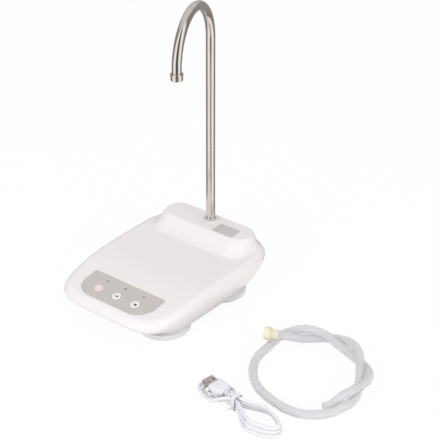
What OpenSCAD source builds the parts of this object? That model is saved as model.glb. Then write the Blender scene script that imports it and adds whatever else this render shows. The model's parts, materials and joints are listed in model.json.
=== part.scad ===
// Electric water jug pump: a tray housing with a steel gooseneck spout, its
// gear pump, battery and keys, and the loose suction hose and charging cable.
// Millimetres. The table is z = 0, the control panel faces -Y, X is symmetric.

/* [Housing] */
// overall width of the tray housing
body_w = 149; // [142:1:156]
// overall length of the tray housing
body_l = 198; // [192:1:212]
// distance of the widest section behind the middle
widest_y = 10; // [4:1:16]
// share by which the front is narrower than the widest section
front_taper = 0.08; // [0.04:0.01:0.14]
// height of the tray surface above the table
tray_z = 37; // [36:0.5:42]
// thickness of the moulded walls
wall = 2.2; // [1.8:0.1:2.6]
// radius of the soft edge round the tray
edge_r = 8; // [6:0.5:10]
// how far the side walls draw in at the bottom rim
side_in = 7; // [5:0.5:9]
// how far the rear wall draws in at the bottom rim
rear_in = 15; // [12:0.5:18]
// how far the front draws in at the bottom rim, under the lip
front_in = 24; // [20:0.5:28]
// how far the lower edge of the front lip draws in
lip_in = 2.6; // [1.5:0.1:4]

/* [Rear hump] */
// rise of the hump above the tray
hump_rise = 14; // [11:0.5:17]
// flat depth of the hump top, front to back
hump_d = 29; // [26:0.5:34]
// distance from the rear end of the housing to the back of the hump top
hump_back_gap = 12.5; // [11:0.5:15]
// distance from the widest section to each end of the hump top
hump_end_gap = 20; // [18:0.5:24]
// radius of the round corners of the hump top
hump_r = 14; // [8:0.5:14]
// length of the hollow slope in front of the hump
hump_slope = 21; // [16:0.5:24]
// length of the slope at each end of the hump
hump_end_slope = 9; // [7:0.5:10]
// length of the slope behind the hump
hump_back_slope = 6; // [5:0.5:8]

/* [Control panel] */
// forward tilt of the panel, in degrees
panel_tilt = 6.8; // [5:0.1:8]
// width of the inlaid panel
panel_w = 92.5; // [86:0.5:100]
// depth of the inlaid panel
panel_d = 35.2; // [33:0.1:40]
// radius of the two front corners of the panel
panel_r = 20; // [12:0.5:24]
// radius of the two rear corners of the panel
panel_rear_r = 2.5; // [1:0.5:5]
// thickness of the panel inlay
panel_t = 1.2; // [0.8:0.1:1.4]
// distance from the front end of the housing to the panel
panel_gap = 9; // [8:0.5:12]
// radius of a round key
key_r = 5; // [4:0.25:6]
// spacing of the keys
key_pitch = 24; // [20:0.5:28]
// distance of the keys from the front edge of the panel
key_in = 13.9; // [12:0.1:17]
// distance of the indicator lights from the front edge of the panel
lamp_in = 27.5; // [25:0.5:30]
// radius of an indicator light guide
lamp_r = 1.2; // [0.8:0.1:1.6]
// travel of a key
key_travel = 0.6; // [0.4:0.1:0.8]
// height of a key above the panel
key_proud = 0.5; // [0.3:0.1:0.8]

/* [Feet and cover] */
// height of the housing rim above the table
foot_h = 7; // [5:0.5:9]
// radius of a round foot
foot_r = 27; // [22:0.5:29]
// distance of the front feet from the front end of the housing
foot_front = 46.5; // [44:0.5:54]
// distance of the rear feet from the rear end of the housing
foot_rear = 64.5; // [58:0.5:68]
// sideways position of the front feet
foot_front_x = 41; // [36:0.5:44]
// sideways position of the rear feet
foot_rear_x = 45; // [38:0.5:47]
// radius of a rubber pad
pad_r = 14; // [10:0.5:18]
// thickness of a rubber pad
pad_t = 1.6; // [1.2:0.1:2.4]
// how far a pad stands out below its foot
pad_proud = 0.6; // [0.4:0.1:1]
// thickness of the bottom cover
cover_t = 2.4; // [2:0.1:3]
// radius of the screw posts
post_r = 4; // [3.5:0.1:4.5]
// radius of the cover screws
screw_r = 1.4; // [1.2:0.1:1.6]

/* [Spout] */
// outer radius of the steel tube
tube_r = 4.75; // [4:0.05:5.5]
// wall of the steel tube
tube_wall = 0.8; // [0.6:0.1:1]
// height of the straight rear leg above the hump
leg_h = 207; // [180:1:240]
// centre radius of the half-round bend at the top
neck_r = 45.5; // [36:0.5:52]
// length of the straight end below the bend
drop_l = 6.5; // [5:0.5:14]
// turn of the spout at rest, in degrees from straight ahead
spout_turn = 18; // [-90:1:90]
// outer radius of the outlet nozzle
nozzle_r = 6.3; // [6:0.1:7.5]
// length of the outlet nozzle
nozzle_l = 7; // [7:0.5:10]
// radius of the steel collar at the foot of the tube
collar_r = 6; // [5.9:0.1:7]
// height of the steel collar
collar_h = 2.6; // [2:0.1:4]
// distance of the tube from the back of the hump top
spout_in = 11.5; // [10:0.5:14]
// outer radius of the spout socket
socket_r = 7.6; // [7.4:0.1:8.4]
// height of the socket rim above the hump
socket_rim = 1.3; // [0.8:0.1:2]
// depth of the tube in its socket
socket_depth = 18; // [14:0.5:19]
// running clearance of the tube in its socket
swivel_gap = 0.05; // [0.03:0.01:0.08]

/* [Pump and motor] */
// radius of the motor can
motor_r = 10; // [8:0.25:10.5]
// length of the motor can
motor_l = 22; // [18:0.5:24]
// distance of the motor's rear face from the side of the housing
motor_side = 9.4; // [9:0.2:12]
// radius of the motor shaft
shaft_r = 1; // [0.75:0.05:1.25]
// teeth of a pump gear
gear_teeth = 12; // [12:1:14]
// module of the pump gears
gear_module = 1; // [0.9:0.05:1.05]
// width of the pump gears
gear_w = 7; // [5:0.5:9]
// distance of the pump from the spout, front to back
pump_back = 45; // [43:0.5:50]
// wall of the pump body
pump_wall = 2.4; // [2:0.1:3]
// radius of the hose spigots
spigot_r = 3; // [2.6:0.1:3.2]
// bore radius of the hose spigots
spigot_bore = 1.9; // [1.5:0.1:2.1]
// length of the hose spigots
spigot_l = 8; // [7:0.5:10]
// wall of the inner hoses
inner_hose_wall = 1; // [0.8:0.1:1.2]
// bend radius of the inner hoses
hose_bend = 12; // [10:0.5:14]
// sideways position of the water inlet at the back
inlet_x = 26; // [24:0.5:30]

/* [Power] */
// radius of the battery cell
cell_r = 9.2; // [8:0.1:9.5]
// length of the battery cell
cell_l = 65; // [60:0.5:68]
// distance of the battery cell in front of the widest section
cell_front = 22; // [18:0.5:26]
// sideways position of the charging socket at the back
socket_x = -26; // [-30:0.5:-22]
// width of the charging socket
port_w = 7.6; // [7:0.1:9]
// height of the charging socket
port_h = 2.8; // [2.4:0.1:3.2]
// thickness of the circuit boards
board_t = 1.6; // [1:0.1:2]

/* [Suction hose] */
// outer radius of the suction hose
hose_r = 4.2; // [3.6:0.1:4.3]
// bore radius of the suction hose
hose_bore = 3; // [2.4:0.1:3.2]
// half width of the oval hose ring on the table
ring_wide = 52; // [49:0.5:58]
// half length of the oval hose ring
ring_long = 56.7; // [52:0.1:64]
// radius of the flange of the hose fitting
fitting_r = 6.6; // [5.5:0.1:7.5]
// length of the flange of the hose fitting
fitting_flange = 7; // [5:0.5:9]
// length of the barrel of the hose fitting
fitting_barrel = 7.5; // [6:0.5:9]

/* [Charging cable] */
// radius of the cable
cable_r = 1.6; // [1.3:0.05:1.65]
// length of the small loops, left of the tie
hank_left = 45; // [44:1:52]
// length of the large loops, right of the tie
hank_right = 54; // [48:1:64]
// width of the large loops
hank_wide = 18; // [15:0.5:20]
// width of the small loops
hank_narrow = 15; // [15:0.5:18]

/* [Hidden] */
$fn = 48;

// clearance between a moulded piece and its opening
fit = 0.15;
// clearance round moving keys
key_fit = 0.25;
// clearance between the cover and the shell rim
rim_fit = 0.3;
// small overlap that fuses two shapes of one solid
sink = 0.6;

half_w = body_w / 2;
half_l = body_l / 2;
span_front = half_l + widest_y;
span_rear = half_l - widest_y;
front_n = 6;
rear_n = 4.5;
cover_top = foot_h + cover_t;

// panel plane
panel_yc = -half_l + panel_gap + panel_d / 2;
tilt_soft = 22;
tilt_y = panel_yc + panel_d / 2 + tilt_soft + 2;
key_y = key_in - panel_d / 2;
lamp_y = lamp_in - panel_d / 2;

// hump
hump_back = half_l - hump_back_gap;
hump_front = hump_back - hump_d;
hump_half = half_w - hump_end_gap;
hump_z = tray_z + hump_rise;
spout_y = hump_back - spout_in;

// housing surface

function clamp01(t) = min(1, max(0, t));
function ease(t) = let (c = clamp01(t)) c * c * (3 - 2 * c);

// height lost towards the front, with a soft start
function tilt_fall(y) =
  let (d = tilt_y - y)
  tan(panel_tilt) * (d <= -tilt_soft ? 0 :
    d >= tilt_soft ? d : pow(d + tilt_soft, 2) / (4 * tilt_soft));
function tray_h(y) = tray_z - tilt_fall(y);

// the hump's fall: short round crest, long hollow foot
function hump_fall(s) = pow(1 - pow(clamp01(s), 1.5), 2.2);
function hump_h(x, y) =
  let (ax = max(0, abs(x) - hump_half + hump_r),
       af = max(0, hump_front + hump_r - y),
       ab = max(0, y - hump_back + hump_r),
       d = max(0.001, norm([ax, af, ab])),
       slope = ax * ax * hump_end_slope + af * af * hump_slope + ab * ab * hump_back_slope)
  hump_rise * hump_fall((d - hump_r) * d * d / max(0.001, slope));
function top_z(x, y) = tray_h(y) + hump_h(x, y);

// square (u, v) to the rounded plan, drawn in by an inset
function plan_pt(u, v, inset) =
  let (n = v < 0 ? front_n : rear_n,
       b = v < 0 ? span_front : span_rear,
       k = pow(1 + pow(abs(u * v), n), -1 / n),
       y = widest_y + (b - inset) * v * k,
       f = y < widest_y ? 1 - front_taper * pow((widest_y - y) / span_front, 1.4) : 1)
  [(half_w - inset) * u * k * f, y];

// how much a point of the outline faces front (-1) or rear (1)
function facing(u, v) =
  let (n = v < 0 ? front_n : rear_n,
       b = v < 0 ? span_front : span_rear,
       gx = pow(abs(u), n - 1) / half_w,
       gy = pow(abs(v), n - 1) / b,
       w = gy / norm([gx, gy]))
  sign(v) * ease(w);

us_half = [0.18, 0.36, 0.54, 0.63, 0.71, 0.78, 0.83, 0.88, 0.92, 0.96, 1];
us = concat([for (i = [len(us_half) - 1 : -1 : 0]) -us_half[i]], [0], us_half);
function rear_v(y) = (y - widest_y) / (span_rear - edge_r);
function front_v(y) = (y - widest_y) / (span_front - edge_r);
vs = concat(
  [-1, -0.95, -0.86, -0.75],
  [for (s = [-1.1, -0.6, 0, 0.5, 1]) front_v(tilt_y + s * tilt_soft)],
  [0.06],
  [for (s = [1, 0.84, 0.68, 0.52, 0.37, 0.24, 0.12, 0]) rear_v(hump_front - s * hump_slope)],
  [for (s = [0.25, 0.5, 0.68, 0.85, 1]) rear_v(hump_front + s * hump_d)],
  [for (s = [0.2, 0.4]) rear_v(hump_back + s * hump_back_slope)],
  [1]
);
nu = len(us);
nv = len(vs);
nl = 2 * (nu - 1) + 2 * (nv - 1);
function loop_ij(k) =
  k < nu - 1 ? [k, 0] :
  k < nu + nv - 2 ? [nu - 1, k - (nu - 1)] :
  k < 2 * nu + nv - 3 ? [2 * nu + nv - 3 - k, nv - 1] :
  [0, nl - k];

// wall rings from the rim up: share of the wall height below the soft edge
wall_t = [1, 0.65, 0.3, 0.14];
front_share = [1, 0.5, 0, -0.08];
edge_a = [0, 22, 45, 68];
nr = len(wall_t) + len(edge_a);
rim_z = foot_h;

function wall_inset(r, face) =
  let (t = pow(wall_t[r], 1.8),
       back = face > 0 ? face : 0,
       fore = face < 0 ? -face : 0,
       lip = r == 3 ? lip_in * 0.2 : lip_in + (front_in - lip_in) * front_share[r])
  (1 - back - fore) * side_in * t + back * rear_in * t + fore * lip;
// extra inset of the inner face, larger where the wall leans
function lean(r, face) =
  r > 2 ? 1 : r == 2 ? 1 + 0.5 * max(0, -face) : 1 + (face < 0 ? -1.5 * face : 0.7 * face);

function ring_pt(r, k, inner) =
  let (ij = loop_ij(k), u = us[ij[0]], v = vs[ij[1]], face = facing(u, v),
       low = r < len(wall_t),
       er = inner ? edge_r - wall : edge_r,
       skin = inner ? wall : 0,
       inset = low ? wall_inset(r, face) + (inner ? wall * lean(r, face) : 0)
                   : skin + er * (1 - cos(edge_a[r - len(wall_t)])),
       p = plan_pt(u, v, inset),
       edge_z = tray_h(p[1]) - edge_r,
       z = low ? edge_z - wall_t[r] * (edge_z - rim_z)
               : top_z(p[0], p[1]) - skin - er * (1 - sin(edge_a[r - len(wall_t)])))
  [p[0], p[1], z];
function grid_pt(i, j, inner) =
  let (p = plan_pt(us[i], vs[j], edge_r)) [p[0], p[1], top_z(p[0], p[1]) - (inner ? wall : 0)];

module shell_skin() {
  pts = [for (inner = [false, true]) each concat(
    [for (r = [0 : nr - 1], k = [0 : nl - 1]) ring_pt(r, k, inner)],
    [for (j = [0 : nv - 1], i = [0 : nu - 1]) grid_pt(i, j, inner)])];
  half = nr * nl + nu * nv;
  function at(r, k) = let (m = k % nl, ij = loop_ij(m))
    r < nr ? r * nl + m : nr * nl + ij[1] * nu + ij[0];
  walls = [for (r = [0 : nr - 1], k = [0 : nl - 1]) each
    [[at(r, k), at(r + 1, k), at(r + 1, k + 1)], [at(r, k), at(r + 1, k + 1), at(r, k + 1)]]];
  function g(i, j) = nr * nl + j * nu + i;
  lid = [for (j = [0 : nv - 2], i = [0 : nu - 2]) each
    [[g(i, j), g(i, j + 1), g(i + 1, j + 1)], [g(i, j), g(i + 1, j + 1), g(i + 1, j)]]];
  outer = concat(walls, lid);
  inner = [for (f = outer) [f[0] + half, f[2] + half, f[1] + half]];
  rim = [for (k = [0 : nl - 1]) let (a = at(0, k), b = at(0, k + 1)) each
    [[a, b, b + half], [a, b + half, a + half]]];
  polyhedron(points = pts, faces = concat(outer, inner, rim), convexity = 8);
}

// places things on the tilted panel plane, z = 0 at the panel's top face
module on_panel() {
  translate([0, panel_yc, tray_h(panel_yc)]) rotate([panel_tilt, 0, 0]) children();
}

// straight rear edge with small corners, large round front corners
module panel_2d(grow) {
  w = panel_w / 2 + grow;
  d = panel_d / 2 + grow;
  difference() {
    translate([-w, -d]) square([2 * w, 2 * d]);
    for (s = [-1, 1]) {
      corner_2d(s * w, -d, s, -1, panel_r + grow);
      corner_2d(s * w, d, s, 1, panel_rear_r + grow);
    }
  }
}
// what a round corner takes off a square one
module corner_2d(x, y, sx, sy, r) {
  difference() {
    translate([x - sx * r / 2 + sx * 0.5, y - sy * r / 2 + sy * 0.5]) square(r + 1, center = true);
    translate([x - sx * r, y - sy * r]) circle(r);
    translate([x - sx * r - sx * r / 2, y]) square([r, 4 * r], center = true);
    translate([x, y - sy * r - sy * r / 2]) square([4 * r, r], center = true);
  }
}

key_xs = [-key_pitch, 0, key_pitch];
post_x = half_w - 20;
post_rear_x = half_w - 31;
posts = [[-post_x, -6], [post_x, -6], [-post_rear_x, spout_y - 4], [post_rear_x, spout_y - 4],
         [0, tilt_y - 4]];
board_w = panel_w - 6;
board_d = panel_d - 4;
board_post_x = key_pitch + 13;
board_post_y = board_d / 2 - 5;

// heights below the panel's top face
key_flange_z = wall + 0.4;
key_flange_t = 1.2;
key_stem = 1;
key_low = key_flange_z + key_flange_t + key_stem;
switch_top = key_low + key_travel + 0.15;
plunger_h = 0.7;
plunger_r = 1.75;
switch_w = 6;
switch_h = 3.2;
board_top = switch_top + plunger_h + switch_h;
lamp_low = board_top - 1;

module top_shell() {
  color([0.95, 0.94, 0.94])
  difference() {
    union() {
      shell_skin();
      for (p = posts)
        translate([p[0], p[1], cover_top])
          cylinder(h = top_z(p[0], p[1]) - wall + sink - cover_top, r = post_r);
      on_panel() for (sx = [-1, 1], sy = [-1, 1])
        translate([sx * board_post_x, sy * board_post_y, -board_top])
          cylinder(h = board_top - wall + sink, r = post_r - 1);
    }
    for (p = posts)
      translate([p[0], p[1], cover_top - 1]) cylinder(h = screw_len, r = screw_r + 0.1);
    on_panel() {
      translate([0, 0, -panel_t]) linear_extrude(panel_t + 6) panel_2d(fit);
      for (x = key_xs) {
        translate([x, key_y, -wall - 2]) cylinder(h = wall + 4, r = key_r + key_fit);
        translate([x, lamp_y, -wall - 2]) cylinder(h = wall + 4, r = lamp_r + fit);
      }
      for (sx = [-1, 1], sy = [-1, 1])
        translate([sx * board_post_x, sy * board_post_y, -board_top - 1]) cylinder(h = 6, r = screw_r - 0.3);
    }
    translate([0, spout_y, hump_z - 6]) cylinder(h = 12, r = socket_r + fit);
    translate([inlet_x, half_l - 24, inlet_z]) rotate([-90, 0, 0]) cylinder(h = 30, r = nipple_r + fit);
    translate([socket_x - port_w / 2 - fit, half_l - 20, charge_z - port_h / 2 - fit])
      cube([port_w + 2 * fit, 30, port_h + 2 * fit]);
  }
}

// cover, screws and feet

module cover_2d(grow) {
  polygon([for (k = [0 : nl - 1])
    let (ij = loop_ij(k), u = us[ij[0]], v = vs[ij[1]], face = facing(u, v))
    plan_pt(u, v, wall_inset(0, face) + wall * lean(0, face) + rim_fit - grow)]);
}
screw_len = 12;
head_r = 2.8;
head_h = 1.4;
// the feet stay inside the housing's width
foot_most_x = half_w - foot_r - 2.5;
front_foot = [min(foot_front_x, foot_most_x), -half_l + foot_front];
rear_foot = [min(foot_rear_x, foot_most_x), half_l - foot_rear];
feet_at = [for (s = [1, -1], p = [front_foot, rear_foot]) [s * p[0], p[1]]];

module bottom_cover() {
  color([0.88, 0.88, 0.88])
  difference() {
    union() {
      translate([0, 0, foot_h]) linear_extrude(cover_t) cover_2d(0);
      // stand for the charging board
      translate([socket_x - stand_w / 2, charge_board_y, cover_top - 0.2])
        cube([stand_w, stand_l, charge_z - port_h / 2 - charge_board_t - cover_top + 0.2]);
    }
    for (p = posts) {
      translate([p[0], p[1], foot_h - 1]) cylinder(h = cover_t + 2, r = screw_r + 0.25);
      translate([p[0], p[1], foot_h - 1]) cylinder(h = head_h + 1, r = head_r + 0.3);
    }
  }
}

module cover_screws() {
  color([0.72, 0.72, 0.74])
  for (p = posts) translate([p[0], p[1], foot_h]) {
    cylinder(h = head_h, r = head_r);
    translate([0, 0, head_h - 0.1]) cylinder(h = screw_len - head_h - 2, r = screw_r);
  }
}

module feet() {
  color([0.9, 0.9, 0.9])
  for (p = feet_at) translate([p[0], p[1], 0]) rotate_extrude($fn = 72)
    difference() {
      union() {
        translate([0, pad_proud]) square([foot_r - foot_edge, foot_h - pad_proud]);
        translate([0, pad_proud + foot_edge]) square([foot_r, foot_h - pad_proud - foot_edge]);
        translate([foot_r - foot_edge, pad_proud + foot_edge]) circle(foot_edge);
      }
      translate([-foot_r, 0]) square([foot_r, foot_h + 1]);
      translate([0, 0]) square([pad_r + fit, pad_t]);
    }
}
foot_edge = 2.6;

module foot_pads() {
  color([0.75, 0.75, 0.75])
  for (p = feet_at) translate([p[0], p[1], 0]) cylinder(h = pad_t, r = pad_r);
}

// panel, keys and board

module control_panel() {
  color([0.78, 0.75, 0.73])
  on_panel() difference() {
    translate([0, 0, -panel_t]) linear_extrude(panel_t) panel_2d(0);
    for (x = key_xs) {
      translate([x, key_y, -panel_t - 1]) cylinder(h = panel_t + 2, r = key_r + key_fit);
      translate([x, lamp_y, -panel_t - 1]) cylinder(h = panel_t + 2, r = lamp_r + fit);
    }
  }
}

// one key: round cap with a softened rim, a catch below the wall and a stem
module key(n) {
  on_panel() translate([key_xs[n], key_y, 0]) rotate_extrude() polygon([
    [0, -key_low], [1.5, -key_low], [1.5, -key_flange_z - key_flange_t],
    [key_r + 1.2, -key_flange_z - key_flange_t], [key_r + 1.2, -key_flange_z],
    [key_r, -key_flange_z], [key_r, key_proud - 0.35], [key_r - 0.35, key_proud], [0, key_proud]]);
}
module power_key() { color([0.93, 0.8, 0.8]) key(0); }
module small_cup_key() { color([0.96, 0.96, 0.96]) key(1); }
module large_cup_key() { color([0.96, 0.96, 0.96]) key(2); }

module indicator_lamps() {
  color([0.35, 0.33, 0.32])
  on_panel() for (x = key_xs) translate([x, lamp_y, -lamp_low]) {
    cylinder(h = lamp_low, r = lamp_r, $fn = 32);
    translate([-1.6, -1.2, -1]) cube([3.2, 2.4, 1.1]);
  }
}

module control_board() {
  color([0.15, 0.4, 0.25])
  on_panel() difference() {
    translate([-board_w / 2, -board_d / 2, -board_top - board_t]) cube([board_w, board_d, board_t]);
    for (sx = [-1, 1], sy = [-1, 1])
      translate([sx * board_post_x, sy * board_post_y, -board_top - board_t - 1])
        cylinder(h = board_t + 2, r = screw_r);
  }
}

module key_switches() {
  color([0.2, 0.2, 0.2])
  on_panel() for (x = key_xs) translate([x, key_y, -board_top]) {
    translate([-switch_w / 2, -switch_w / 2, 0]) cube([switch_w, switch_w, switch_h]);
    cylinder(h = switch_h + plunger_h, r = plunger_r);
  }
}

module board_screws() {
  color([0.72, 0.72, 0.74])
  on_panel() for (sx = [-1, 1], sy = [-1, 1])
    translate([sx * board_post_x, sy * board_post_y, -board_top - board_t]) {
      translate([0, 0, -1.2]) cylinder(h = 1.2, r = 2.2);
      translate([0, 0, -0.1]) cylinder(h = board_t + 4, r = screw_r - 0.4);
    }
}

// battery

cell_y = widest_y - cell_front;
cell_seat = 1.5;
cell_z = cover_top + cell_seat + cell_r;
module battery_cell() {
  color([0.25, 0.5, 0.75])
  translate([-cell_l / 2, cell_y, cell_z]) rotate([0, 90, 0]) {
    cylinder(h = cell_l, r = cell_r);
    translate([0, 0, cell_l - 0.1]) cylinder(h = 1.3, r = 2.8);
  }
}
module battery_cradle() {
  color([0.3, 0.3, 0.3])
  difference() {
    translate([-cell_l / 2 - 4, cell_y - cell_r - 2, cover_top])
      cube([cell_l + 8, 2 * cell_r + 4, cell_seat + cell_r]);
    translate([-cell_l / 2 - fit, cell_y, cell_z]) rotate([0, 90, 0])
      cylinder(h = cell_l + 2 * fit + 1.4, r = cell_r + 0.05);
    translate([-cell_l / 2 + 10, cell_y - cell_r - 3, cover_top + 4])
      cube([cell_l - 20, 2 * cell_r + 6, cell_seat + cell_r]);
  }
}

// motor and gear pump, both on an axis along X

gear_pitch_r = gear_module * gear_teeth / 2;
gear_tip_r = gear_pitch_r + 0.8 * gear_module;
gear_root_r = gear_pitch_r - 1.15 * gear_module;
gear_gap = 2 * gear_pitch_r;
gear_fit = 0.15;
gear_side = 0.1;
pressure = 25;
backlash = 0.9;
pump_y = spout_y - pump_back;
pump_seat = 1.6;
pump_half_h = max(gear_tip_r + gear_fit + pump_wall, motor_r + 0.2);
pump_z = cover_top + pump_seat + pump_half_h;
port_dz = 4.2;
inlet_z = pump_z - port_dz;
cavity_w = gear_w + 2 * gear_side;
pump_cover_t = 3;
// along X from the motor's rear face to the face with the hose spigots
motor_x = -half_w + motor_side;
pump_x = motor_x + motor_l;
cavity_x = pump_x + pump_wall;
pump_face_x = cavity_x + cavity_w + pump_cover_t;
// gap that is left between a pushed-on hose and the shoulder behind it
hose_gap = 1;
inner_hose_r = spigot_r + inner_hose_wall;

// places things on the pump's drive axis, with local z along X and local x down
module on_pump(x) { translate([x, pump_y, pump_z]) rotate([0, 90, 0]) children(); }

function inv_deg(a) = tan(a) * 180 / PI - a;
function flank(r) =
  let (rb = gear_pitch_r * cos(pressure))
  90 / gear_teeth - backlash + inv_deg(pressure) - (r <= rb ? 0 : inv_deg(acos(rb / r)));
module gear_2d() {
  rb = gear_pitch_r * cos(pressure);
  rs = [gear_root_r, rb, rb + (gear_tip_r - rb) * 0.35, rb + (gear_tip_r - rb) * 0.7, gear_tip_r];
  polygon([for (t = [0 : gear_teeth - 1]) each concat(
    [for (r = rs) let (a = 360 * t / gear_teeth - flank(r)) [r * cos(a), r * sin(a)]],
    [for (i = [len(rs) - 1 : -1 : 0]) let (r = rs[i], a = 360 * t / gear_teeth + flank(r))
      [r * cos(a), r * sin(a)]])]);
}

boss_l = 2;
shaft_in = 5;
module motor_can() {
  color([0.7, 0.7, 0.72])
  on_pump(motor_x) difference() {
    union() {
      cylinder(h = motor_l, r = motor_r);
      translate([0, 0, -boss_l]) cylinder(h = boss_l + 0.1, r = motor_r * 0.35);
    }
    translate([0, 0, shaft_in - 1]) cylinder(h = motor_l, r = shaft_r + 0.3);
  }
}
module motor_shaft() {
  color([0.6, 0.6, 0.62])
  on_pump(motor_x + shaft_in)
    cylinder(h = cavity_x + cavity_w - gear_side - motor_x - shaft_in, r = shaft_r);
}
module drive_gear() {
  color([0.9, 0.9, 0.85])
  on_pump(cavity_x + gear_side) difference() {
    linear_extrude(gear_w) rotate(90) gear_2d();
    translate([0, 0, -1]) cylinder(h = gear_w + 2, r = shaft_r);
  }
}
module idler_gear() {
  color([0.9, 0.9, 0.85])
  on_pump(cavity_x + gear_side) translate([0, gear_gap, 0]) difference() {
    linear_extrude(gear_w) rotate(90 + 180 / gear_teeth) gear_2d();
    translate([0, 0, -1]) cylinder(h = gear_w + 2, r = idler_r + 0.04);
  }
}
idler_r = 1.5;
module idler_pin() {
  color([0.6, 0.6, 0.62])
  on_pump(cavity_x - pump_wall + 0.4) translate([0, gear_gap, 0])
    cylinder(h = cavity_w + pump_wall + pump_cover_t - 2, r = idler_r);
}
pump_lo = gear_tip_r + gear_fit + pump_wall;
module pump_block(h) {
  translate([-pump_half_h, -pump_lo, 0]) cube([2 * pump_half_h, gear_gap + 2 * pump_lo, h]);
}
module pump_body() {
  color([0.85, 0.85, 0.83])
  on_pump(pump_x) difference() {
    pump_block(pump_wall + cavity_w);
    for (y = [0, gear_gap]) translate([0, y, pump_wall])
      cylinder(h = cavity_w + 1, r = gear_tip_r + gear_fit);
    translate([0, 0, -1]) cylinder(h = pump_wall + 2, r = shaft_r + 0.05);
    translate([0, 0, -0.01]) cylinder(h = seal_t + 0.01, r = seal_r);
    translate([0, gear_gap, 0.4]) cylinder(h = pump_wall, r = idler_r);
  }
}
seal_r = 3;
seal_t = 1.2;
module shaft_seal() {
  color([0.2, 0.2, 0.2])
  on_pump(pump_x) difference() {
    cylinder(h = seal_t, r = seal_r);
    translate([0, 0, -1]) cylinder(h = seal_t + 2, r = shaft_r + 0.05);
  }
}
module pump_cover() {
  color([0.85, 0.85, 0.83])
  on_pump(pump_face_x - pump_cover_t) difference() {
    union() {
      pump_block(pump_cover_t);
      for (s = [-1, 1]) translate([s * port_dz, gear_gap / 2, pump_cover_t - 0.1])
        cylinder(h = spigot_l + 0.1, r = spigot_r);
    }
    for (s = [-1, 1]) translate([s * port_dz, gear_gap / 2, -1])
      cylinder(h = pump_cover_t + spigot_l + 2, r = spigot_bore);
    translate([0, gear_gap, -1]) cylinder(h = pump_cover_t - 0.6, r = idler_r);
  }
}
mount_wall = 2;
mount_gap = 1;
seat_fit = 0.05;
module pump_mount() {
  color([0.3, 0.3, 0.3])
  difference() {
    union() {
      translate([motor_x, pump_y - motor_r - mount_wall, cover_top])
        cube([motor_l - mount_gap, 2 * (motor_r + mount_wall), pump_seat + pump_half_h - mount_wall]);
      translate([pump_x - mount_gap - 0.1, pump_y - pump_lo, cover_top])
        cube([pump_face_x - pump_x + mount_gap, gear_gap + 2 * pump_lo, pump_seat]);
    }
    on_pump(motor_x - mount_gap) cylinder(h = motor_l + 2 * mount_gap, r = motor_r + seat_fit);
  }
}

// a plain hose: straight along X, a quarter turn, straight along +Y
module bent_hose(x0, x1, y, y1, z) {
  difference() {
    hose_bar(x0, x1, y, y1, z, inner_hose_r);
    hose_bar(x0 - 1, x1, y, y1 + 1, z, spigot_r + 0.03);
  }
}
module hose_bar(x0, x1, y, y1, z, r) {
  translate([x0, y, z]) rotate([0, 90, 0]) cylinder(h = x1 - hose_bend - x0, r = r);
  translate([x1 - hose_bend, y + hose_bend, z]) rotate([0, 0, -90])
    rotate_extrude(angle = 90) translate([hose_bend, 0]) circle(r);
  translate([x1, y + hose_bend, z]) rotate([-90, 0, 0]) cylinder(h = y1 - y - hose_bend, r = r);
}
port_y = pump_y + gear_gap / 2;
module outlet_hose() {
  color([0.9, 0.9, 0.92])
  bent_hose(pump_face_x + hose_gap, 0, port_y, spout_y - socket_r - hose_gap, pump_z + port_dz);
}
module inlet_hose() {
  color([0.9, 0.9, 0.92])
  bent_hose(pump_face_x + hose_gap, inlet_x, port_y, nipple_y + spigot_l - hose_gap, inlet_z);
}
nipple_r = spigot_r + 0.8;
nipple_in = 27;
nipple_y = half_l - nipple_in;
module inlet_nipple() {
  color([0.92, 0.92, 0.92])
  translate([inlet_x, nipple_y, inlet_z]) rotate([-90, 0, 0]) difference() {
    union() {
      cylinder(h = spigot_l + 1, r = spigot_r);
      translate([0, 0, spigot_l]) cylinder(h = half_l - 0.6 - nipple_y - spigot_l, r = nipple_r);
      translate([0, 0, spigot_l]) cylinder(h = 1.6, r = nipple_r + 2.4);
    }
    translate([0, 0, -1]) cylinder(h = half_l - nipple_y + 2, r = spigot_bore);
  }
}

// charging inlet at the back

charge_z = pump_z - port_dz;
port_l = 9;
port_in = 1.2;
// the rear wall has drawn in by about a third of its lean at the port
charge_y = half_l - rear_in * 0.32 - port_in;
charge_board_t = 1;
charge_board_l = 12;
charge_seat = 2.5;
stand_l = 5;
stand_w = 10;
charge_board_y = charge_y - port_l + charge_seat - charge_board_l;
module charge_board() {
  color([0.15, 0.4, 0.25])
  translate([socket_x - 7, charge_board_y, charge_z - port_h / 2 - charge_board_t])
    cube([14, charge_board_l, charge_board_t]);
}
module charge_socket() {
  color([0.75, 0.75, 0.78])
  translate([socket_x - port_w / 2, charge_y - port_l, charge_z - port_h / 2]) difference() {
    cube([port_w, port_l, port_h]);
    translate([0.4, 1.2, 0.4]) cube([port_w - 0.8, port_l, port_h - 0.8]);
  }
}

// spout

rim_top = hump_z + socket_rim;
tube_low = rim_top - socket_depth;
outlet_z = pump_z + port_dz;
module spout_socket() {
  color([0.95, 0.94, 0.94])
  translate([0, spout_y, 0]) difference() {
    union() {
      translate([0, 0, outlet_z - spigot_r - 1.5])
        cylinder(h = rim_top - outlet_z + spigot_r + 1.5, r = socket_r);
      translate([0, 0, hump_z - wall - 2]) cylinder(h = 2, r = socket_r + 3);
      translate([0, 0, outlet_z]) rotate([90, 0, 0]) cylinder(h = socket_r + spigot_l, r = spigot_r);
    }
    translate([0, 0, tube_low - 0.4]) cylinder(h = socket_depth + 2, r = tube_r + swivel_gap);
    translate([0, 0, outlet_z]) cylinder(h = tube_low - outlet_z, r = spigot_bore);
    translate([0, 0, outlet_z]) rotate([90, 0, 0]) cylinder(h = socket_r + spigot_l + 1, r = spigot_bore);
    for (z = seal_zs) translate([0, 0, z - seal_s - seal_gap])
      cylinder(h = 2 * (seal_s + seal_gap), r = groove_r);
  }
}
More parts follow.
